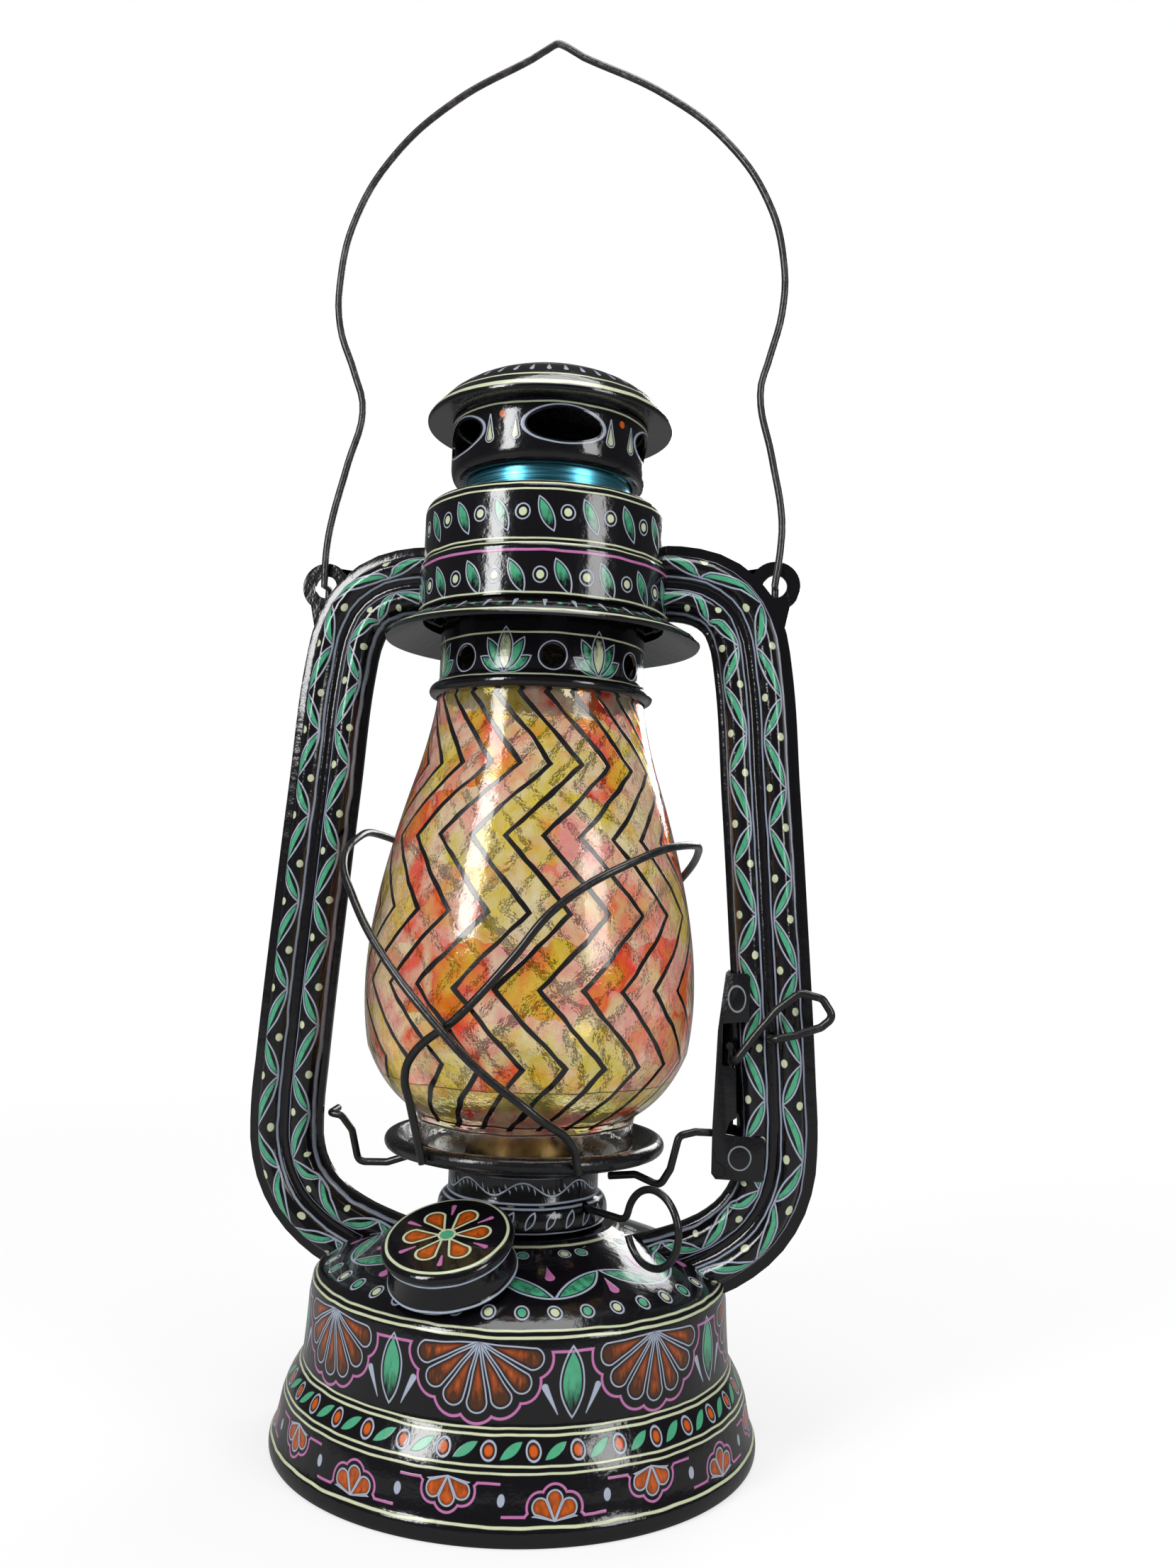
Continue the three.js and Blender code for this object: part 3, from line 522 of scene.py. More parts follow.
# Half flowers of seven petals hang from the shoulder, in a scalloped pink border that runs on between them
u = enamel.ring(FLOWERS, WALL_PHASE, 55.5)
along, across, angle = enamel.fan(u, 41.2 - z, 25.0)
petal = enamel.drop(along, across, 15.6, 2.55)
in_fan = enamel.both(abs(angle) < math.radians(86), on_wall)
border = enamel.math('MAXIMUM', petal + 2.0, z - 39.2)
enamel.lay(PINK, enamel.both(enamel.line(border, 0.3), on_wall))
burnt = enamel.both(enamel.inside(petal - 0.8, 0.7), in_fan)
enamel.lay(BROWN, burnt * 0.6, 0.4)
tipped = enamel.math('MULTIPLY_ADD', along, -0.17, enamel.streaks((0.9, 0.9, 0.25), 1.3, 2.2), clamp=True)
glaze = enamel.inside(petal - 1.3, 1.4) * tipped
enamel.lay(ORANGE, enamel.both(glaze, in_fan), 0.5)
enamel.lay(PALE, enamel.both(enamel.line(petal - 0.2, 0.17), in_fan))

# A green drop hangs between two flowers, with a white dab on each side
u = enamel.ring(FLOWERS, WALL_PHASE + 22.5, 55.5)
down = 40.4 - z
green = enamel.leaf(down, u, 15.6, 2.9)
brushed = enamel.math('MULTIPLY_ADD', down, -0.16, enamel.streaks((1.6, 1.6, 0.3), 0.9, 2.2), clamp=True)
enamel.lay(MINT, enamel.both(enamel.inside(green - 0.75), brushed, on_wall), 0.6)
enamel.lay(PALE, enamel.both(enamel.line(green - 0.1, 0.19), on_wall))
along, across = enamel.tilt(abs(u) - 6.4, down - 8.4, -26)
enamel.lay(PALE, enamel.both(enamel.inside(enamel.drop(7.0 - along, across, 7.4, 0.75, 0.1)), on_wall))

# The band of seeds between two double lines
u = enamel.ring(SEEDS, 5.5, 59.0)
ring = enamel.oval(u, z - SEED_HEIGHT, 1.8, 2.0)
enamel.lay(ORANGE, enamel.inside(ring - 0.85, 0.5))
enamel.lay(PALE, enamel.line(ring - 0.2, 0.2))
along, across = enamel.tilt(enamel.ring(SEEDS, 10.5, 59.0), z - SEED_HEIGHT, 58)
enamel.lay(MINT, enamel.inside(enamel.leaf(along + 3.0, across, 6.0, 0.95)))
on_band = enamel.between(z, 14.0, 23.6)
enamel.lay(CREAM, enamel.both(enamel.lines(z, 22.9, 21.7, 16.1, 14.7, half=0.24), on_band))

# Flowers of three petals on the foot, upright and hanging by turns, and a white dot between them
foot = enamel.between(z, 4.2, 14.2)
for phase, base, way in ((20, 5.4, 1), (42.5, 13.8, -1)):
    u = enamel.ring(FLOWERS, phase, FOOT_RADIUS)
    near = abs(u) < 11.8
    along, across, angle = enamel.fan(u, (z - base) * way, 50.0)
    petal = enamel.drop(along, across, 6.2, 1.9)
    in_fan = enamel.both(abs(angle) < math.radians(80), foot, near)
    border = enamel.math('MAXIMUM', petal + 1.15, ((base - z) * way) + 1.0)
    enamel.lay(PINK, enamel.both(enamel.line(border, 0.26), foot, near))
    enamel.lay(BROWN, enamel.both(enamel.inside(petal - 0.4), in_fan), 0.4)
    brushed = enamel.streaks((0.9, 0.9, 0.4), 1.2, 0.7)
    warm = enamel.math('MULTIPLY', enamel.inside(petal - 0.5, 0.9), brushed, clamp=True)
    enamel.lay(ORANGE, enamel.both(warm, in_fan), 0.5)
    enamel.lay(PALE, enamel.both(enamel.line(petal - 0.1, 0.18), in_fan))
u = enamel.ring(2 * FLOWERS, 8.8, FOOT_RADIUS)
enamel.lay(PALE, enamel.inside(enamel.oval(u, z - 9.6, 0.85, 1.3)))
enamel.lay(CREAM, enamel.lines(z, 4.5, half=0.26))

# Dome: two rows of dots in ovals, a garland of leaves between them and pink drops in its bends
on_dome = z > 42.2
enamel.lay(CREAM, enamel.lines(z, 43.5, half=0.2))
enamel.lay(CREAM, enamel.lines(z, 42.2, half=0.3))
for phase, shade in ((3.0, CREAM), (12.0, MINT)):
    ring = enamel.oval(enamel.ring(20, phase, 49.5), r - 49.4, 1.8, 1.9)
    enamel.lay(shade, enamel.both(enamel.inside(ring - 0.8), on_dome))
    enamel.lay(PALE, enamel.both(enamel.line(ring - 0.2, 0.2), on_dome))
    ring = enamel.oval(enamel.ring(12, phase, 29.2), r - 29.2, 1.7, 1.7)
    enamel.lay(shade, enamel.both(enamel.inside(ring - 0.65), on_dome))
    enamel.lay(PALE, enamel.both(enamel.line(ring - 0.2, 0.2), on_dome))
u = enamel.ring(9, 2.0, 40.0)
for lean in (1, -1):
    along, across = enamel.tilt((u - 14.0 * lean) * -lean, 45.6 - r, 58)
    green = enamel.leaf(along, across, 16.2, 2.3)
    brushed = enamel.streaks((0.5, 0.5, 0.5), 1.2, 0.8)
    enamel.lay(MINT, enamel.both(enamel.inside(green - 0.7), brushed, on_dome), 0.5)
    enamel.lay(PALE, enamel.both(enamel.line(green - 0.1, 0.26), on_dome))
dab = enamel.drop(r - 40.0, u, 5.4, 1.2)
enamel.lay(PINK, enamel.both(enamel.inside(dab), on_dome))
dab = enamel.drop(r - 34.0, enamel.ring(9, 22.0, 36.0), 5.4, 1.2)
enamel.lay(PINK, enamel.both(enamel.inside(dab), on_dome))
enamel.lay(CREAM, enamel.both(enamel.lines(r, 25.9, half=0.32), on_dome))
fit(tank, "frame", ["fuel_tank"], enamel.done(), 28)

# Tank bottom
# A pressed steel pan, soldered inside the foot and seen only from below. It keeps its own solid from the
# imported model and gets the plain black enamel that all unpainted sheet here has.
plain = Paint("plain enamel", roughness=0.24, lumps=0.4)
plain_enamel = plain.done()
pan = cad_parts["tank_bottom"].data
pan.materials.clear()
pan.materials.append(plain_enamel)

# Filler neck, cork washer and filler cap
# The neck is a tinned ring soldered into the dome. The cap is a pressed steel lid with a cork washer
# inside, and its flat top carries a six-petalled flower in orange.
tin = Finish("tinned steel", Metallic=1.0)
at = tin.millimetres()
clouds = tin.noise(at, 0.4, 4)
tin.give('Base Color', tin.tones(clouds, (0.3, colour(120, 120, 116)), (0.7, colour(176, 176, 172))))
tin.give('Roughness', tin.noise(at, 1.4, 2) * 0.3 + 0.25)
neck_wall = trace((12.2, -15.2), (12.5, -15.2), (12.5, -3.0), (12.2, -2.6))
neck = turned("filler_tube", neck_wall, wall=1.0, steps=64)
settle(neck, FILLER_TURN, FILLER_PLACE)
fit(neck, "frame", ["filler_neck"], tin.material)

cork = Finish("cork", Roughness=0.9)
cells = cork.node('ShaderNodeTexVoronoi', {}, {'Vector': cork.millimetres(), 'Scale': 1.6}).outputs[0]
cork.give('Base Color', cork.tones(cells, (0.1, colour(92, 68, 48)), (0.6, colour(150, 118, 86))))
cork.bump(cells, 0.4, 0.2)
washer = turned("cork_washer", trace(
    (8.6, -2.2), (8.8, -2.3), (13.0, -2.3), (13.2, -2.1), (13.2, -1.6), (13.0, -1.4), (8.8, -1.4),
    (8.6, -1.5), (8.6, -2.2),
), steps=64)
settle(washer, FILLER_TURN, FILLER_PLACE)
fit(washer, "filler_washer", ["cap_gasket"], cork.material)

lid = turned("filler_lid", trace(
    (15.7, -10.5), (15.9, -10.2), (15.5, -9.4), (15.3, -9.0), (15.3, -3.4), (15.4, -3.0),
    (16.1, -2.4, 16.1, -1.8),
    (16.1, -0.9, 15.2, -0.4), (14.6, 0.0, 13.6, 0.0), (0.0, 0.0),
), wall=1.0, steps=96)
settle(lid, FILLER_TURN, FILLER_PLACE)
lid_paint = Paint("filler lid enamel", wobble=0.3)
lid_paint.centre(FILLER_PLACE, FILLER_TURN)
u, v, z = lid_paint.x, lid_paint.y, lid_paint.z
r = lid_paint.radius()
top = z > -0.45
along, across, _ = lid_paint.fan(u, v, 60.0, 12.0)
petal = lid_paint.drop(along - 2.0, across, 8.6, 2.75, 0.2)
lid_paint.lay(BROWN, lid_paint.both(lid_paint.inside(petal - 0.7, 0.4), top), 0.4)
brushed = lid_paint.streaks((0.8, 0.8, 0.8), 1.2, 0.72)
glaze = lid_paint.math('MULTIPLY', lid_paint.inside(petal - 1.0, 1.1), brushed, clamp=True)
lid_paint.lay(ORANGE, lid_paint.both(glaze, top), 0.5)
lid_paint.lay(CREAM, lid_paint.both(lid_paint.line(petal - 0.15, 0.3), top))
lid_paint.lay(MINT, lid_paint.both(lid_paint.inside(1.7 - r), top))
lid_paint.lay(CREAM, lid_paint.both(lid_paint.line(r - 2.0, 0.28), top))
along, across, _ = lid_paint.fan(u, v, 60.0, 42.0)
dab = lid_paint.drop(along - 8.2, across, 4.0, 0.62, 0.2)
lid_paint.lay(PINK, lid_paint.both(lid_paint.inside(dab), top))
lid_paint.lay(CREAM, lid_paint.both(lid_paint.line(r - 14.6, 0.34), z > -1.6))
lid_paint.lay(PALE, lid_paint.both(lid_paint.lines(z, -3.5, -9.9, half=0.22), r > 14.9))
fit(lid, "fuel_cap", ["filler_cap"], lid_paint.done())

# Burner collar
# The threaded seat of the burner is hidden in this turned collar. A white scroll with fern strokes runs
# round it, and its swelled base has a row of slanted white dabs.
collar = turned("collar", trace(
    (19.1, 56.7), (21.6, 56.7), (22.7, 57.4, 22.7, 59.6), (22.7, 62.2, 21.2, 63.4), (20.4, 64.0),
    (20.1, 64.6),
    (20.1, 70.2), (20.5, 70.6), (20.1, 71.0), (19.1, 71.0),
), steps=120)
modify(collar, 'SOLIDIFY', thickness=0.1 * MM, offset=-1)

# The wick shaft's line: it passes beside the wick and out through the front of the collar
KNOB_TURN = math.radians(48.6)
KNOB_HEIGHT = 62.3
SHAFT_ASIDE = 4.4
outward = Vector((math.sin(KNOB_TURN), -math.cos(KNOB_TURN), 0))
sideways = Vector((math.cos(KNOB_TURN), math.sin(KNOB_TURN), 0))
shaft_line = outward * 20 + sideways * SHAFT_ASIDE + Vector((0, 0, KNOB_HEIGHT))
bore(collar, cylinder(1.5, 12, shaft_line, (LAID_DOWN, 0, KNOB_TURN), 24))
scroll = Paint("collar enamel", wobble=0.25)
z = scroll.z
SCROLL_RADIUS = 20.1
SCROLL_LENGTH = 15.8
way = scroll.azimuth() * SCROLL_RADIUS
wave = scroll.math('SINE', way * (2 * math.pi / SCROLL_LENGTH))
climb = z - 67.7 - wave * 1.7
upper = scroll.between(z, 64.2, 71.2)
scroll.lay(PALE, scroll.both(scroll.line(climb, 0.2), upper))
u = scroll.wrap(way, 1.58)
for sign in (1, -1):
    along, across = scroll.tilt(u, climb * sign, -32 * sign)
    fern = scroll.both(scroll.inside(scroll.drop(along - 0.5, across, 2.2, 0.36, 0.1)), upper)
    scroll.lay(PALE, scroll.both(fern, (wave * -sign) > 0.1))
scroll.lay(PALE, scroll.lines(z, 70.6, 64.2, 63.2, 57.2, half=0.22))
u = scroll.ring(26, 0.0, 22.6)
along, across = scroll.tilt(u, z - 58.4, 28)
scroll.lay(PALE, scroll.line(scroll.leaf(along, across, 4.6, 0.9), 0.18))
fit(collar, "frame", ["burner_collar"], scroll.done())

# Burner
# A pressed brass drum seated in the collar, with a slotted flame cone on it. The flat cotton wick stands in
# a brass tube between them. The brass is darkened by soot, and all of it shows only through the globe.
brass = Finish("satin brass", Metallic=1.0)
at = brass.millimetres()
sooted = brass.noise(at, 0.25, 4)
brass.give('Base Color', brass.tones(sooted, (0.3, colour(58, 44, 28)), (0.7, colour(112, 90, 56))))
brass.give('Roughness', brass.noise(at, 1.2, 3) * 0.35 + 0.2)
brass.bump(brass.noise(brass.vector('MULTIPLY', at, (0.4, 0.4, 6)), 1.0, 2), 0.25, 0.1)


def box(size, place, turned_by=(0, 0, 0)):
    """A block by its size and middle in millimetres."""
    bpy.ops.object.select_all(action='DESELECT')
    bpy.ops.mesh.primitive_cube_add(size=MM, location=Vector(place) * MM, rotation=turned_by, scale=size)
    return bpy.context.object


def merged(name, *pieces):
    """Several objects made one."""
    bpy.ops.object.select_all(action='DESELECT')
    for piece in pieces:
        piece.select_set(True)
    bpy.context.view_layer.objects.active = pieces[0]
    bpy.ops.object.join()
    pieces[0].name = pieces[0].data.name = name
    return pieces[0]


def around(count, phase, radius, z):
    """Places on a circle, from an azimuth in degrees that is counted from the front towards +X."""
    for i in range(count):
        angle = math.radians(phase + 360 * i / count)
        yield angle, Vector((radius * math.sin(angle), -radius * math.cos(angle), z))


burner = (0, 0, KNOB_TURN)
drum = turned("burner_body", trace(
    (16.2, 50.5), (16.4, 50.7), (16.4, 57.0), (18.4, 57.1), (18.4, 57.9), (16.4, 58.0), (16.4, 72.0),
    (16.2, 72.4), (7.0, 72.4),
), wall=0.8, steps=96)
draughts = [cylinder(1.3, 6, place, sides=20) for _, place in around(8, 22.5, 12.4, 72)]
bore(drum, merged("draught cutter", *draughts))
bore(drum, cylinder(1.4, 12, shaft_line - outward * 4, (LAID_DOWN, 0, KNOB_TURN), 24))
fit(drum, "frame", ["burner_drum"], brass.material)
cone = turned("flame_cone", trace(
    (16.2, 72.7), (16.2, 75.0), (14.8, 82.6, 8.4, 86.6), (5.4, 87.7, 0.0, 87.8),
), wall=0.7, steps=96)
bore(cone, box((4.8, 19, 12), (0, 0, 84), burner))
fit(cone, "frame", ["burner_cone"], brass.material)
tube = box((4.2, 16.2, 33), (0, 0, 63.5), burner)
bore(tube, box((3.1, 15.1, 40), (0, 0, 63.5), burner))
bore(tube, box((4.2, 11.6, 6.4), (sideways * 2.6 + Vector((0, 0, KNOB_HEIGHT))), burner))
modify(tube, 'BEVEL', width=0.25 * MM, segments=2, limit_method='ANGLE')
settle(tube)
tube.name = "wick_sleeve"
fit(tube, "frame", ["wick_tube"], brass.material)

cotton = Finish("cotton wick", Roughness=0.95)
at = cotton.millimetres()
threads = {'Vector': at, 'Scale': 0.45, 'Distortion': 1.5}
weave = cotton.node('ShaderNodeTexWave', {'bands_direction': 'Z'}, threads).outputs['Fac']
height = Number(cotton, cotton.node('ShaderNodeSeparateXYZ', {}, {0: at}).outputs[2])
charred = cotton.math('MULTIPLY', height - 80.6, 0.6, clamp=True)
fresh = cotton.mix(weave, colour(196, 182, 150), colour(232, 224, 200))
cotton.give('Base Color', cotton.mix(charred, fresh, colour(34, 28, 24)))
cotton.bump(weave, 0.5, 0.2)
wick = box((2.5, 14.5, 58.4), (0, 0, 53.2), burner)
modify(wick, 'BEVEL', width=0.7 * MM, segments=3, limit_method='ANGLE')
settle(wick)
wick.name = "flat_wick"
fit(wick, "wick_strip", ["wick"], cotton.material)

# Wick shaft
# One black wire passes beside the wick, out through the collar, and ends in a round finger loop. Two
# toothed brass wheels on it grip the wick.
black_wire = Paint("black wire", ground=colour(20, 19, 21), roughness=0.3, lumps=0.5)
wear = black_wire.math('MULTIPLY', black_wire.streaks((0.25, 0.25, 0.12), 1.6, -0.35), 0.8, clamp=True)
black_wire.lay(colour(74, 70, 68), wear, 0.0)
wire_enamel = black_wire.done()


def rounded(corners, radius, n=8):
    """A route of straight stretches with its corners rounded."""
    points = [corners[0]]
    for before, corner, after in zip(corners, corners[1:], corners[2:]):
        back, on = before - corner, after - corner
        reach = min(radius / math.tan(back.angle(on) / 2), back.length * 0.48, on.length * 0.48)
        start, end = corner + back.normalized() * reach, corner + on.normalized() * reach
        for i in range(n + 1):
            t = i / n
            points.append(start.lerp(corner, t).lerp(corner.lerp(end, t), t))
    return points + [corners[-1]]


def wire(name, points, radius=1.05, flowing=False, closed=False):
    """A round wire along points in millimetres, straight from point to point or flowing through them."""
    bpy.ops.object.select_all(action='DESELECT')
    bpy.ops.curve.primitive_bezier_curve_add()
    piece = bpy.context.object
    piece.name = name
    line = piece.data
    line.splines.clear()
    spline = line.splines.new('BEZIER' if flowing else 'POLY')
    spots = spline.bezier_points if flowing else spline.points
    spots.add(len(points) - 1)
    for spot, place in zip(spots, points):
        if flowing:
            spot.co = place * MM
            spot.handle_left_type = spot.handle_right_type = 'AUTO'
        else:
            spot.co = (place * MM).to_4d()
    spline.use_cyclic_u = closed
    line.resolution_u = 16
    line.bevel_depth = radius * MM
    line.bevel_resolution = 4
    line.use_fill_caps = not closed
    bpy.ops.object.convert(target='MESH')
    settle(piece)
    piece.data.name = name
    return piece


def on_shaft(distance, rise=0.0):
    return sideways * SHAFT_ASIDE + outward * distance + Vector((0, 0, KNOB_HEIGHT + rise))


LOOP_RADIUS = 9.3
loop = []
for i in range(41):
    a = math.radians(166 - 8.12 * i)
    loop.append(on_shaft(46.6 + LOOP_RADIUS * math.cos(a), LOOP_RADIUS * math.sin(a)))
shank = [on_shaft(-6.4), on_shaft(34.8), on_shaft(36.2, 0.4), on_shaft(37.1, 1.2)]
fit(wire("wick_key", shank + loop, 0.95), "wick_knob", ["wick_shaft"], wire_enamel, 60)


def plate(name, outline, front, back):
    """A flat sheet from corners (x, z) in millimetres, standing between two depths."""
    piece = drawn(name, [(p.x, front, p.y) for p in outline])
    bpy.ops.mesh.edge_face_add()
    bpy.ops.mesh.extrude_region_move(TRANSFORM_OT_translate={'value': (0, (back - front) * MM, 0)})
    bpy.ops.mesh.select_all(action='SELECT')
    bpy.ops.mesh.normals_make_consistent(inside=False)
    bpy.ops.object.mode_set(mode='OBJECT')
    return piece


TOOTH_TIP = 2.7
TOOTH_ROOT = 2.1
TEETH = 12
toothed = []
for i in range(4 * TEETH):
    a = 2 * math.pi * i / (4 * TEETH)
    reach = TOOTH_TIP if i % 4 in (0, 1) else TOOTH_ROOT
    toothed.append(Vector((reach * math.cos(a), reach * math.sin(a))))
for node, along in (("wick_wheel_inner", -3.6), ("wick_wheel_outer", 3.6)):
    wheel = plate("toothed_" + node, toothed, -0.8, 0.8)
    bore(wheel, cylinder(1.1, 6, (0, 0, 0), (LAID_DOWN, 0, 0), 24))
    settle(wheel, (0, 0, KNOB_TURN), on_shaft(along))
    fit(wheel, "wick_knob", [node], brass.material, 20)

# Side tubes
# Each tube is pressed in two halves that meet in flat seams, with a groove between two lobes, and it
# carries hot air down from the chamber to the tank. The ear for the bail is part of its top seam. A vine is
# painted down each lobe.
EAR_ASIDE = 63.5
EAR_HEIGHT = 228
LEVER_HINGE = (65.2, 107.4)
ROUTE = [Vector((x, 0, z)) for x, z in (
    (33, 228.8), (40, 228.3), (47, 226), (52.5, 221.5), (56, 214.5), (57.8, 206), (61, 170), (63.2, 142),
    (66.5, 95), (67.2, 80), (66.3, 70), (62.5, 61), (56, 54), (48, 49.2), (40, 46), (30, 43))]


def flow(points, step):
    """Even steps along a smooth line through points, as Blender's own curve draws it."""
    guide = wire("guide", points, radius=0.0, flowing=True)
    dense = [guide.matrix_world @ v.co / MM for v in guide.data.vertices]
    bpy.data.objects.remove(guide)
    lengths = [0.0]
    for here, there in zip(dense, dense[1:]):
        lengths.append(lengths[-1] + (there - here).length)
    count = round(lengths[-1] / step)
    even, k = [], 0
    for i in range(count + 1):
        want = lengths[-1] * i / count
        while k < len(dense) - 2 and lengths[k + 1] < want:
            k += 1
        share = (want - lengths[k]) / (lengths[k + 1] - lengths[k])
        even.append(dense[k].lerp(dense[k + 1], share))
    return even


half = trace((0.6, -10.6), (0.62, -8.6), (0.9, -7.8), (4.2, -7.1, 5.3, -6.0), (6.3, -4.6, 5.6, -3.1),
             (4.9, -1.7, 3.6, -1.0), (2.9, -0.4, 2.9, 0.4), (2.9, 1.2, 3.6, 1.8), (4.9, 2.5, 5.7, 3.8),
             (6.4, 5.5, 5.4, 7.1), (4.6, 8.3, 0.9, 8.8), (0.62, 9.3), (0.6, 10.4), n=4)
SECTION = half + [Vector((-p.x, p.y)) for p in reversed(half)]
stations = flow(ROUTE, 4.0)


def side_tube(name, side):
    """Sweeps the section down the route, on the right (1) or the left (-1)."""
    before, after = [stations[0]] + stations[:-1], stations[1:] + [stations[-1]]
    headings = [(b - a).normalized() for a, b in zip(before, after)]
    way = headings[0]
    corners = [stations[0] + Vector((way.z, 0, -way.x)) * p.y + Vector((0, p.x, 0)) for p in SECTION]
    piece = drawn(name, [(side * c.x, c.y, c.z) for c in corners])
    bpy.ops.mesh.edge_face_add()
    bpy.ops.mesh.delete(type='ONLY_FACE')
    bpy.ops.mesh.select_all(action='SELECT')
    for i in range(1, len(stations)):
        step = stations[i] - stations[i - 1]
        move = Vector((side * step.x, 0, step.z)) * MM
        bpy.ops.mesh.extrude_edges_move(TRANSFORM_OT_translate={'value': move})
        bend = math.atan2(headings[i].x, headings[i].z) - math.atan2(headings[i - 1].x, headings[i - 1].z)
        pivot = Vector((side * stations[i].x, 0, stations[i].z)) * MM
        bpy.ops.transform.rotate(value=-bend * side, orient_axis='Y', center_override=pivot)
    bpy.ops.mesh.select_all(action='SELECT')
    bpy.ops.mesh.normals_make_consistent(inside=False)
    bpy.ops.object.mode_set(mode='OBJECT')
    return piece


def route_map(piece, side):
    """Gives a tube its own UV map: the way along the route and the way inwards from its middle, in metres."""
    layer = piece.data.uv_layers.new(name="route")
    lengths = [0.0]
    for here, there in zip(stations, stations[1:]):
        lengths.append(lengths[-1] + (there - here).length)
    found = []
    for vertex in piece.data.vertices:
        place = Vector((side * vertex.co.x / MM, 0, vertex.co.z / MM))
        k = min(range(len(stations) - 1), key=lambda i: ((stations[i] + stations[i + 1]) / 2 - place).length)
        way = (stations[k + 1] - stations[k]).normalized()
        off = place - stations[k]
        found.append((lengths[k] + off.dot(way), off.dot(Vector((way.z, 0, -way.x)))))
    for loop in piece.data.loops:
        u, v = found[loop.vertex_index]
        layer.data[loop.index].uv = (u * MM, v * MM)


ear_arc = bead(EAR_ASIDE, EAR_HEIGHT, 6.8, 150, -52, 20)
ear_outline = trace((45.5, 231.6), (51, 231.6, 58.0, 231.4), n=4) + ear_arc + [
    Vector((66.4, 216.5)), Vector((66.6, 212)), Vector((60, 211)), Vector((54, 224))]
vine = Paint("tube enamel", wobble=0.3, uv_map="route")
way, inwards = vine.x, vine.y
VINE_STEP = 24.0
for middle, phase in ((-4.4, 0.0), (5.3, 9.0)):
    off = inwards - middle
    on_lobe = abs(off) < 3.6
    vine.lay(PALE, vine.both(vine.line(abs(off) - 3.15, 0.2), abs(off) < 3.7))
    for start, length, angle, rise in ((0.0, 11.2, 26.0, 1), (10.0, 14.8, 20.0, -1)):
        u = vine.math('WRAP', way - (phase + start) + 1.0, VINE_STEP, 0.0) - 1.0
        along, across = vine.tilt(off * rise + 2.5, u, angle)
        green = vine.leaf(along, across, length, 1.45)
        brushed = vine.both(across * rise < 0.35, vine.streaks((0.4, 0.9, 0.4), 1.4, 1.1))
        vine.lay(MINT, vine.both(vine.inside(green - 0.45), brushed, on_lobe), 0.6)
        vine.lay(PALE, vine.both(vine.line(green - 0.05, 0.2), on_lobe))
    for start, rise in ((10.3, -1), (23.6, 1)):
        u = vine.wrap(way, VINE_STEP, phase + start)
        berry = vine.oval(u, off - 1.75 * rise, 1.05, 0.8)
        vine.lay(CREAM, vine.both(vine.inside(berry), on_lobe))
tube_enamel = vine.done()

for side, node in ((1, "side_tube_right"), (-1, "side_tube_left")):
    ear = plate("ear", [Vector((side * p.x, p.y)) for p in ear_outline], -0.6, 0.6)
    bore(ear, cylinder(3.2, 10, (side * EAR_ASIDE, 0, EAR_HEIGHT), (LAID_DOWN, 0, 0), 40))
    tube = merged("tube_" + node[10:], side_tube("tube", side), ear)
    if side == 1:
        hinge = (LEVER_HINGE[0], -4, LEVER_HINGE[1])
        bore(tube, cylinder(1.5, 6, hinge, (LAID_DOWN, 0, 0), 24))
    route_map(tube, side)
    fit(tube, "frame", [node], tube_enamel, 32)

# Air chamber
# A pressed steel drum that the side tubes are soldered into, the upper of its two bands a little smaller.
# Leaves and dots run round both bands between thin lines.
chamber = turned("chamber", trace(
    (34.2, 217.9), (34.6, 218.3), (34.6, 230.6), (34.6, 231.4, 33.7, 232.2), (33.7, 245.0),
    (33.7, 249.0, 30.0, 249.0), (24.2, 249.0), (23.8, 248.6),
), wall=0.8, steps=160)
LEAVES = 18
bands = Paint("chamber enamel", wobble=0.3)
z = bands.z
UPPER_BAND = (233.6, 245.2, 10.5, 239.5, 0.0, 240.0)
LOWER_BAND = (218.6, 229.0, -1.5, 223.2, 8.7, 223.4)
for low, high, leaf_phase, leaf_height, dot_phase, dot_height in (UPPER_BAND, LOWER_BAND):
    here = bands.between(z, low, high)
    u = bands.ring(LEAVES, leaf_phase, 34.0)
    along, across = bands.tilt(u, z - leaf_height, -24)
    green = bands.leaf(along + 4.9, across, 9.8, 1.75)
    brushed = bands.math('MULTIPLY_ADD', along, 0.2, bands.streaks((0.7, 0.7, 0.3), 1.3, 0.6), clamp=True)
    bands.lay(MINT, bands.both(bands.inside(green - 0.5), brushed, here), 0.6)
    bands.lay(PALE, bands.both(bands.line(green - 0.05, 0.17), here))
    ring = bands.oval(bands.ring(LEAVES, dot_phase, 34.0), z - dot_height, 2.0, 2.2)
    bands.lay(CREAM, bands.both(bands.inside(ring - 1.0), here))
    bands.lay(PALE, bands.both(bands.line(ring - 0.2, 0.16), here))
bands.lay(CREAM, bands.lines(z, 247.6, 245.9, 233.1, 231.9, 218.9, half=0.24))
bands.lay(PINK, bands.lines(z, 229.8, half=0.34))
top = z > 248.2
r = bands.radius()
along, across = bands.tilt(bands.ring(16, 4.0, 28.4), r - 28.4, 24)
bands.lay(PALE, bands.both(bands.line(bands.leaf(along + 3.0, across, 6.0, 1.2), 0.2), top))
bands.lay(CREAM, bands.both(bands.lines(r, 24.9, 32.0, half=0.22), top))
fit(chamber, "frame", ["air_chamber"], bands.done(), 28)

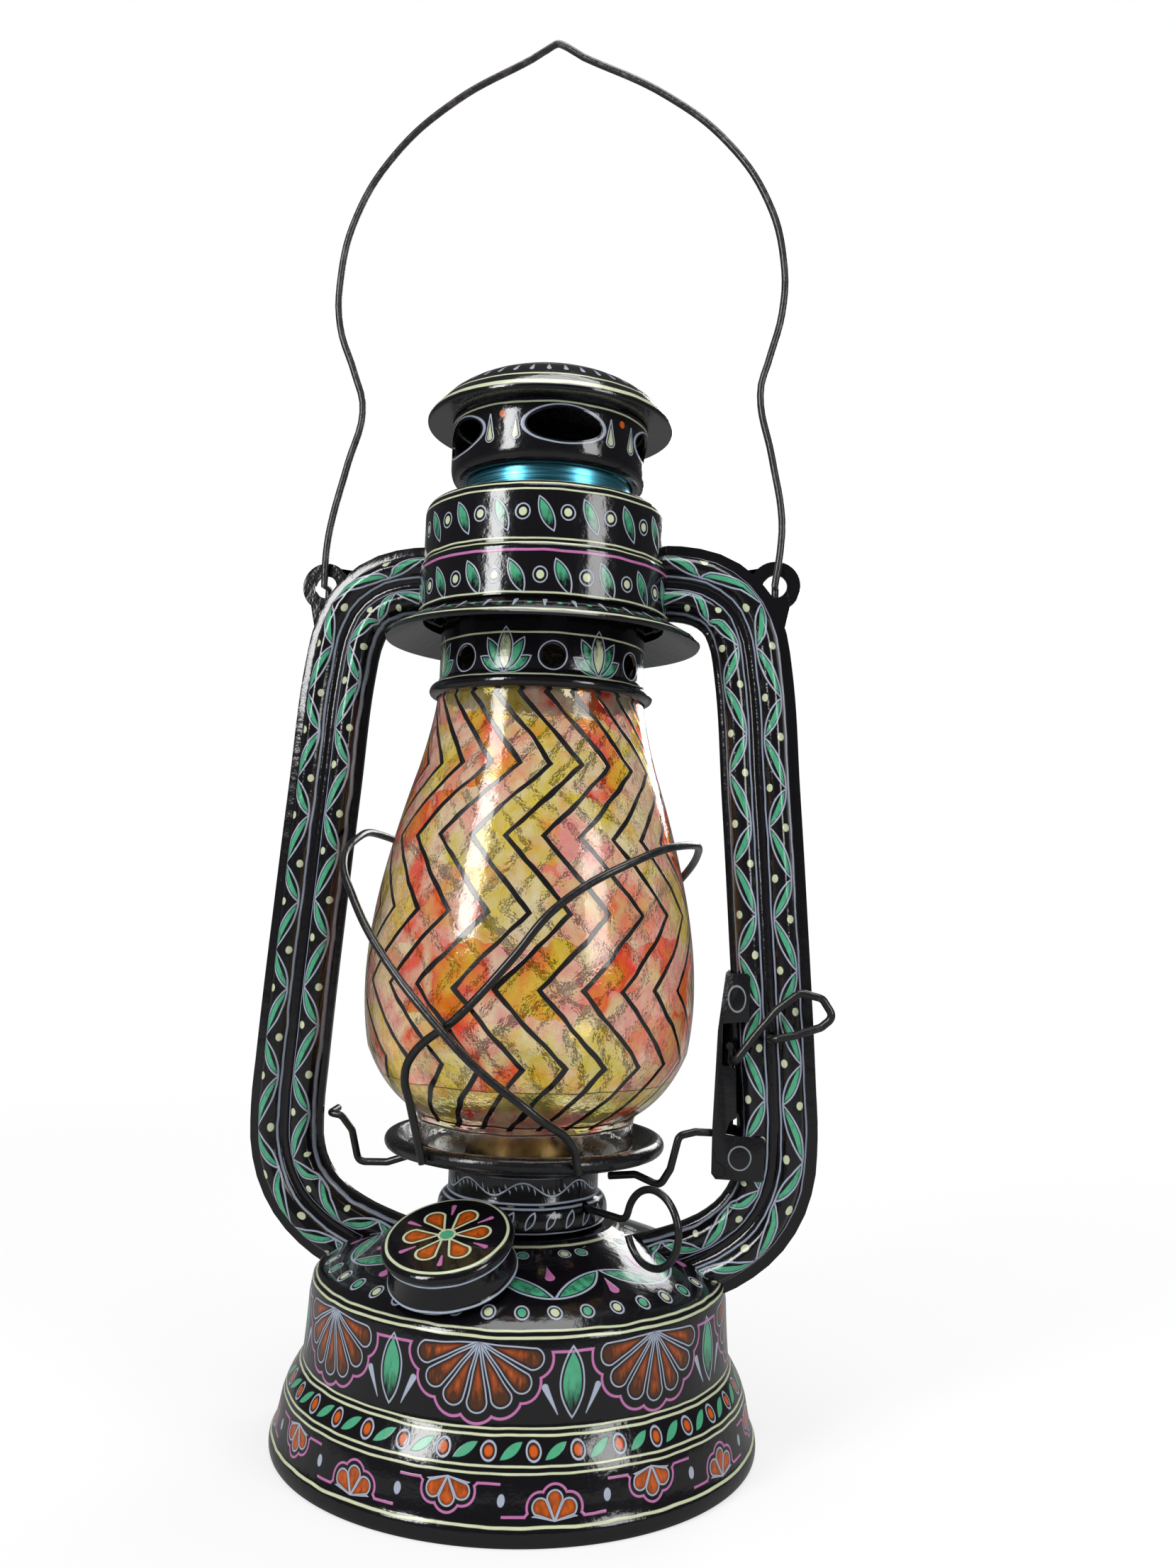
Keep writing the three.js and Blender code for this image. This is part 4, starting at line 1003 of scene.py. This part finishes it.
# Skirt
# A spun steel cone soldered under the chamber, which sheds rain off the globe. Pale dabs run down it over a
# cream rim, and its underside is plain.
skirt = turned("skirt", trace(
    (33.3, 216.3), (34.1, 216.2), (42.5, 211.5), (43.2, 211.4), (43.5, 212.0), (43.1, 212.8), (34.7, 217.6),
    (33.3, 217.6), (33.3, 216.3),
), steps=144)
slope = Paint("skirt enamel", wobble=0.3)
r = slope.radius()
upper = slope.z > 211.9
dab = slope.drop(40.6 - r, slope.ring(32, 0.0, 38.5), 4.6, 0.65, 0.1)
slope.lay(PALE, slope.both(slope.inside(dab), upper))
dot = slope.oval(slope.ring(32, 5.6, 38.5), r - 38.4, 0.7, 0.7)
slope.lay(MINT, slope.both(slope.inside(dot), upper))
slope.lay(CREAM, slope.both(slope.lines(r, 42.6, half=0.5), upper))
fit(skirt, "frame", ["chamber_skirt"], slope.done())
lined(skirt, plain_enamel, 150)

# Chimney
# The mouth over the globe has a swelled bead and seven round holes. It slides up with the flue, the blue
# bare sheet above it. A lotus is painted between the holes.
chimney = turned("chimney", trace(
    (28.7, 195.4), (30.7, 195.7, 30.7, 197.1), (30.6, 198.5, 29.1, 199.2), (28.4, 199.8), (28.1, 200.8),
    (28.1, 224.5), (27.8, 225.2), (23.2, 229.2), (23.0, 229.8), (23.0, 232.0),
), wall=0.8, steps=144)
HOLES = 7
HOLE_PHASE = 16.5
HOLE_HEIGHT = 204
holes = [cylinder(3.2, 12, place, (LAID_DOWN, 0, angle), 40)
         for angle, place in around(HOLES, HOLE_PHASE, 28, HOLE_HEIGHT)]
bore(chimney, merged("hole cutter", *holes))
mouth = Paint("chimney enamel", wobble=0.3)
z = mouth.z
aside, above = mouth.ring(HOLES, HOLE_PHASE, 28.1), z - HOLE_HEIGHT
edge = mouth.math('SQRT', aside * aside + above * above)
mouth.lay(PALE, mouth.line(edge - 3.7, 0.16))
u = mouth.ring(HOLES, -9.2, 28.1)
for lean, length, half_wide, shade in ((58, 8.4, 1.7, MINT), (29, 10.6, 1.8, MINT), (0, 12.0, 2.1, CREAM)):
    along, across = mouth.tilt(abs(u), z - 199.4, lean)
    petal = mouth.leaf(along, across, length, half_wide)
    brushed = mouth.math('MULTIPLY_ADD', along, -0.16, mouth.streaks((0.8, 0.8, 0.3), 1.4, 1.7), clamp=True)
    inner = mouth.both(mouth.inside(petal - 0.6), brushed)
    mouth.lay(BLACK, mouth.inside(petal), 0.0)
    mouth.lay(shade, inner, 0.6)
    mouth.lay(PALE, mouth.line(petal - 0.05, 0.16))
mouth.lay(CREAM, mouth.lines(z, 198.9, 209.9, half=0.24))
fit(chimney, "chimney", ["chimney_tube"], mouth.done())
lined(chimney, plain_enamel, 206)

blue = Finish("blued steel", Metallic=1.0)
shimmer = blue.noise(blue.vector('MULTIPLY', blue.millimetres(), (0.06, 0.06, 2.2)), 1.0, 4)
blue.give('Base Color', blue.tones(
    shimmer, (0.25, colour(40, 118, 146)), (0.5, colour(86, 178, 204)), (0.75, colour(150, 214, 226))))
blue.give('Roughness', shimmer * 0.3 + 0.15)
blue.bump(shimmer, 0.2, 0.1)
flue = turned("flue", trace(
    (22.3, 232.3), (22.9, 232.3), (23.0, 232.5), (23.0, 261.8), (22.8, 262.0), (22.3, 262.0), (22.3, 232.3),
), steps=120)
fit(flue, "chimney", ["neck_ring"], blue.material)

# Cap
# The vented drum rolls in round the flue at its foot, and the brimmed dome keeps rain off its five windows.
# Pale rings are painted round the windows, teardrops between them, and a rosette on the dome.
cap = turned("cap_drum", trace(
    (23.4, 256.0), (23.8, 255.8), (25.2, 255.8), (27.1, 256.1, 27.3, 259.6), (27.3, 272.2),
), wall=0.8, steps=160)
WINDOWS = 5
WINDOW_PHASE = 19
WINDOW_HEIGHT = 265.4
WINDOW_HALVES = (10.0, 4.5)
windows = []
for angle, place in around(WINDOWS, WINDOW_PHASE, 27, WINDOW_HEIGHT):
    window = cylinder(1, 14, place, (LAID_DOWN, 0, angle), 48)
    window.scale = (*WINDOW_HALVES, 1)
    windows.append(window)
bore(cap, merged("window cutter", *windows))
vents = Paint("cap enamel", wobble=0.25)
z = vents.z
u = vents.ring(WINDOWS, WINDOW_PHASE, 27.3)
edge = vents.oval(u, z - WINDOW_HEIGHT, *WINDOW_HALVES)
vents.lay(PALE, vents.line(edge + 0.6, 0.2))
u = vents.ring(WINDOWS, WINDOW_PHASE + 180 / WINDOWS, 27.3)
tear = vents.drop(268.6 - z, abs(u) - 3.9, 7.4, 1.35, 0.1)
brushed = vents.streaks((1.2, 1.2, 0.3), 1.2, 1.0)
vents.lay(CREAM, vents.both(vents.inside(tear - 0.5), brushed), 0.6)
vents.lay(PALE, vents.line(tear - 0.05, 0.16))
vents.lay(ORANGE, vents.inside(vents.oval(u, z - 268.4, 0.95, 1.0)))
vents.lay(CREAM, vents.lines(z, 271.2, half=0.24))
fit(cap, "chimney", ["cap_body"], vents.done(), 28)
lined(cap, plain_enamel, 263)

dome = turned("cap_dome", trace(
    (26.0, 272.6), (29.0, 272.6), (33.8, 272.0), (34.4, 272.2, 34.3, 273.2), (33.6, 274.3), (29.0, 279.2),
    (21.0, 285.8, 8.0, 287.5), (3.0, 287.9), (0.0, 287.9),
), wall=0.8, steps=160)
crown = Paint("dome enamel", wobble=0.3)
r = crown.radius()
over = crown.z > 273.6
along, across, _ = crown.fan(crown.x, -crown.y, 36.0, 8.0)
petal = crown.leaf(along - 8.0, across, 13.0, 2.5)
brushed = crown.streaks((0.5, 0.5, 0.5), 1.3, 0.9)
crown.lay(MINT, crown.both(crown.inside(petal - 0.6), brushed, over), 0.6)
crown.lay(PALE, crown.both(crown.line(petal - 0.1, 0.24), over))
dab = crown.oval(crown.ring(10, 26.0, 21.0), r - 21.0, 0.9, 1.5)
crown.lay(ORANGE, crown.both(crown.inside(dab), over))
dab = crown.drop(r - 25.2, crown.ring(40, 0.0, 27.0), 4.0, 0.6, 0.1)
crown.lay(PALE, crown.both(crown.inside(dab), over))
crown.lay(CREAM, crown.both(crown.lines(r, 23.4, 30.8, half=0.24), over))
crown.lay(CREAM, crown.both(crown.lines(r, 33.6, half=0.5), crown.z > 272.6))
fit(dome, "chimney", ["cap_top"], crown.done(), 28)
lined(dome, plain_enamel, 250)

# Lifting ring
# A small steel ring, bent from wire and closed, lies on the cap under a staple that is soldered to the
# dome, and folds up round the bar of that staple.
STAPLE_ASIDE = 0.5
RING_RADIUS = 5.2
bar = [Vector((STAPLE_ASIDE + x, 0, z)) for x, z in (
    (-2.1, 287.7), (-2.1, 291.3), (2.1, 291.3), (2.1, 287.7))]
fit(wire("staple", rounded(bar, 1.3), 0.7), "chimney", ["cap_staple"], wire_enamel, 60)
hoop = []
for i in range(48):
    a = 2 * math.pi * i / 48
    spot = Vector((-RING_RADIUS + RING_RADIUS * math.cos(a), RING_RADIUS * math.sin(a), 0))
    hoop.append(Vector((STAPLE_ASIDE, 0, 289.2)) + Matrix.Rotation(math.radians(4), 3, 'Y') @ spot)
fit(wire("lifting_ring", hoop, 0.75, closed=True), "ring", ["cap_ring"], wire_enamel, 60)

# Globe
# A barrel of blown glass, open at both ends. Black zigzag lines are drawn on its outside with a liner, and
# the bands between them are brushed with thin yellow, pink and red glass paint, so the far side shows.
LINES_ROUND = 26
ZIGZAG_TOP = 194.5
ZIGZAG_STEP = 18.7
ZIGZAG_REACH = 17.5
ROW_CHANCE = 61
NECK_HEIGHT = 82.4
CLEAR = (0.97, 0.98, 0.96, 1)
GLASS = {'Base Color': CLEAR, 'IOR': 1.45, 'Transmission Weight': 1.0}
clear = Finish("clear glass", Roughness=0.02, **GLASS)
clear.bump(clear.noise(clear.millimetres(), 0.06), 0.15, 1)

film = Paint("painted glass", wobble=0.7)
z = film.z
r = film.radius()
drop = (ZIGZAG_TOP - z) / ZIGZAG_STEP
swing = film.math('PINGPONG', drop, 1.0)
band = film.azimuth() - swing * ZIGZAG_REACH / r

# Each patch between two lines has a tint by chance, and the brush carries it a little over the patch's ends
cloud = film.noise(film.vector('MULTIPLY', film.still, (0.05, 0.05, 0.035)), 1.0, 3, 0.6)
column = film.math('FLOOR', band * (LINES_ROUND / (2 * math.pi)))
patch = column + film.math('FLOOR', drop + cloud * 1.2) * ROW_CHANCE
chance = film.node('ShaderNodeTexWhiteNoise', {'noise_dimensions': '1D'}, {'W': patch}).outputs['Value']
film.shade = film.tones(
    Number(film, chance) * 0.7 + cloud * 1.5 - 0.6,
    (0.0, colour(224, 214, 178)), (0.2, colour(210, 184, 48)), (0.34, colour(220, 206, 168)),
    (0.5, colour(228, 142, 138)), (0.62, colour(222, 196, 170)), (0.74, colour(230, 58, 46)),
    (0.86, colour(220, 128, 30)), (0.95, colour(210, 174, 36)))
film.lay(colour(190, 190, 84), film.between(z, 89.6, 94.6) * 0.7, 0.2)
film.lay(colour(96, 84, 40), film.lines(z, 94.8, half=0.16), 0.4)

# The liner's lines are opaque, and the brushed tint between them is thin. The neck below it is bare glass
u = film.wrap(band, 2 * math.pi / LINES_ROUND) * r
liner = film.noise(film.still, 0.16, 1)
outlines = film.both(film.inside(liner * 0.7 + 0.5 - abs(u)), z > 84.0)
outlines = film.either(outlines, film.lines(z, 84.8, 82.9, half=0.24))
film.lay(colour(16, 12, 14), outlines)
washed = film.math('MULTIPLY_ADD', film.streaks((0.35, 0.35, 0.12), 0.5, 0.0), 0.45, cloud * 0.4, clamp=True)
over_neck = film.math('MULTIPLY', z - NECK_HEIGHT, 0.8, clamp=True)
density = film.either(film.both(washed, over_neck), outlines)
film.done(thickness=0.12)
film.give('Coat Weight', 0.6)
stained = film.node('ShaderNodeBsdfPrincipled', {}, {**GLASS, 'Roughness': 0.04})
film.feed(stained.inputs['Base Color'], film.mix(over_neck, CLEAR, film.shade))
film.feed(stained.inputs['Normal'], film.surface.inputs['Normal'].links[0].from_socket)
layers = {0: density, 1: stained.outputs[0], 2: film.surface.outputs[0]}
film.feed(film.output.inputs['Surface'], film.node('ShaderNodeMixShader', {}, layers).outputs[0])

globe = turned("globe", trace(
    (28.6, 75.8), (29.1, 76.2), (29.1, 83.2), (29.4, 84.4, 30.6, 85.4), (38.6, 90.4, 43.0, 101.5),
    (46.6, 120.0, 41.2, 145.0), (37.6, 161.0, 32.6, 176.0), (28.6, 189.8, 28.1, 198.2), (27.6, 198.6), n=14,
), wall=1.5, steps=160)
fit(globe, "globe", ["globe_glass"], film.material, 40)
lined(globe, clear.material, 137)

# Globe plate
# A dished steel plate with a rolled rim, pressed in one piece, that slides on the burner and carries the
# globe. Twelve slots in it let in air.
dish_top = trace((17.6, 71.3), (24.0, 71.3), (25.4, 71.5, 26.4, 73.4), (33.6, 74.0))
dish_rim = bead(35.4, 76.7, 2.1, -110, 136, 14)
dish_base = trace(
    (32.2, 76.0), (31.4, 75.4), (25.6, 75.0), (24.6, 74.4, 23.4, 72.3), (17.6, 72.3), (17.6, 71.3))
bowl = turned("globe_dish", dish_top + dish_rim + dish_base, steps=144)
slots = [box((3.2, 2.4, 6), (21.2 * math.cos(a), 21.2 * math.sin(a), 71.3), (0, 0, a))
         for a in [math.radians(30 * i) for i in range(12)]]
bore(bowl, merged("slot cutter", *slots))
fit(bowl, "globe_carriage", ["globe_plate"], plain_enamel, 30)

# Guard wires
# Two hoops of steel wire, soldered to the rim of the plate, lean round the globe and cross in front of it
# and behind it, to keep hands off the glass.
RIM_FOOT = (38.85, 75.6)
GUARDS = {
    "guard_wire_a": (
        (-29, *RIM_FOOT), (-30.2, 43.2, 90.5), (-29.4, 46, 97), (-26, 47, 102.5), (-9.5, 47, 113.6),
        (5, 47, 127),
        (18, 46.5, 140), (46, 46, 152.6), (70, 45.2, 156.6), (100, 44.6, 155), (130, 45.6, 145),
        (165, 47.2, 122),
        (192, 47.2, 106), (210, 45, 95), (221, 40.8, 82), (222, *RIM_FOOT)),
    "guard_wire_b": (
        (31, *RIM_FOOT), (27, 41.8, 82.6), (14, 49.4, 91), (-2, 49.7, 101), (-16, 49.8, 111.6),
        (-36, 50.4, 127),
        (-52, 51.4, 140), (-68, 51.6, 150.5), (-82, 48.8, 156.6), (-100, 48.2, 158.2), (-130, 48.4, 150.5),
        (-152, 49.8, 135), (-180, 50.1, 113), (-202, 49.6, 99.5), (-212, 46, 90), (-218, 40.8, 81),
        (-218.5, *RIM_FOOT)),
}
for node, places in GUARDS.items():
    points = []
    for azimuth, reach, height in places:
        a = math.radians(azimuth)
        points.append(Vector((reach * math.sin(a), -reach * math.cos(a), height)))
    guard = wire("hoop_" + node[-1], points, flowing=True)
    fit(guard, "globe_carriage", [node], wire_enamel, 60)

# Lift wires
# A wire on each side of the plate guides it: the left one wraps its tube, and the right one runs up inside
# the bracket to the hook that the lever lifts.
LEFT_LIFT = ((-24.6, 0, 69.8), (-31, 0, 70.9), (-38, 0, 68.4), (-46.2, 0, 68), (-48.4, 0, 76.4),
             (-51.6, 0, 80.2), (-55, 0.2, 80.6), (-55.2, 7.5, 80.9))
RIGHT_LIFT = ((23.9, -5.4, 69.8), (31, -7, 70.9), (37.6, -8, 68.6), (40.2, -8, 73), (42.2, -7.8, 81.6),
              (46.4, -6.4, 82.6), (52.9, -4.2, 82.3), (53.1, -3.2, 86), (54.6, -3.2, 104.9),
              (54.6, -5.6, 105))
left_lift = wire("left_guide", rounded([Vector(p) for p in LEFT_LIFT], 2.6), 1.0)
fit(left_lift, "globe_carriage", ["lift_wire_left"], wire_enamel, 60)
right_lift = wire("right_guide", rounded([Vector(p) for p in RIGHT_LIFT], 2.2), 1.0)
fit(right_lift, "globe_carriage", ["lift_wire_right"], wire_enamel, 60)

# Lift bracket
# A strip of sheet folded round the inner lobe of the right tube, with a window for the lift wire. A pale
# ring is painted on each of its two tabs.
FOLD = ((50.7, 72.4), (50.7, 84), (51.5, 109), (53.2, 124))
front = plate("bracket", trace(
    *FOLD, (58.8, 124), (59.6, 123.2), (59.6, 111.6), (52.8, 110.8), (52.8, 100.2), (56.4, 99.6),
    (56.9, 86.8),
    (55.2, 85.8), (54.2, 82.6), (57.6, 82.2), (63.6, 82.2), (64.3, 81.6), (64.3, 71.6), (63.7, 71.0),
    (51.8, 71.0),
), -7.1, -6.3)
web = plate("web", trace(*FOLD, *[(x + 0.8, z) for x, z in reversed(FOLD)]), -6.8, 6.8)
back = plate("back", trace(
    *FOLD, (58.6, 124), (58.6, 112), (55.5, 110), (55.5, 83), (62.5, 81.5), (62.5, 72.4),
), 6.3, 7.1)
for side in (front, web):
    bore(side, box((4.4, 4, 12.6), (51, -4.6, 86.6)))
bracket = merged("bracket", front, web, back)
modify(bracket, 'BEVEL', width=0.18 * MM, segments=2, limit_method='ANGLE')
tabs = Paint("bracket enamel", wobble=0.3, roughness=0.24, lumps=0.5)
at_front = tabs.y < -6.9
for x, z, wide, high in ((56.3, 117.4, 2.2, 3.3), (58.0, 76.7, 2.8, 3.0)):
    ring = tabs.oval(tabs.x - x, tabs.z - z, wide, high)
    tabs.lay(colour(118, 128, 132), tabs.both(tabs.line(ring, 0.17), at_front))
fit(bracket, "frame", ["lift_bracket"], tabs.done(), 30)

# Lift lever
# One steel wire, bent cold and hooked into the right tube, where it hinges. Pressing its finger loop lifts
# the plate and the globe for lighting.
LEVER_DEPTH = -9.0
lever = [Vector((LEVER_HINGE[0], -2.4, LEVER_HINGE[1]))] + [Vector((x, LEVER_DEPTH, z)) for x, z in (
    LEVER_HINGE, (71.2, 108.8), (77.9, 111.2), (81.1, 114), (78.1, 118.6), (72.4, 119.8), (66.6, 115.2),
    (60.6, 107.6), (56.1, 101.2))] + [Vector((56, -4.9, 101.4))]
fit(wire("lever", rounded(lever, 2.4)), "lever", ["lift_lever"], wire_enamel, 60)

# Bail
# One steel wire, peaked at the top and nipped in above the ears. Each end passes through an ear and turns
# down behind it. Its black has rubbed thin where it is held.
bail_black = Paint("bail wire", ground=colour(34, 31, 32), roughness=0.34, lumps=0.9)
wear = bail_black.math('MULTIPLY', bail_black.streaks((0.3, 0.3, 0.16), 1.6, -0.1), 0.9, clamp=True)
bail_black.lay(colour(98, 90, 86), wear, 0.0)
FRONT = -1.95
LEFT_LEG = ((-63.5, 228), (-63.4, 238), (-62.4, 246), (-58.4, 263), (-54.6, 279.5), (-57.6, 290),
            (-62.6, 304), (-63.2, 318), (-59.6, 336), (-48.6, 355), (-31, 370.4), (-9, 381.6))
RIGHT_LEG = ((63.5, 228), (64.8, 238), (65, 246), (62, 263), (58.4, 282), (60.6, 291), (63.8, 304), (64, 318),
             (59.2, 336), (47.6, 353.6), (30, 368.4), (6, 381.2))
left_leg = flow([Vector((x, FRONT, z)) for x, z in LEFT_LEG], 3.0)
right_leg = flow([Vector((x, FRONT, z)) for x, z in RIGHT_LEG], 3.0)
peak = rounded([Vector((x, FRONT, z)) for x, z in ((-4, 384.6), (-1.6, 386), (1, 384.6))], 2.0)
left_end = [Vector((-EAR_ASIDE, -FRONT, z)) for z in (221.8, EAR_HEIGHT)]
right_end = [Vector((EAR_ASIDE, -FRONT, z)) for z in (EAR_HEIGHT, 221.8)]
route = left_end + left_leg + peak + right_leg[::-1] + right_end
fit(wire("bail", route, 0.98), "bail", ["bail_wire"], bail_black.done(), 60)
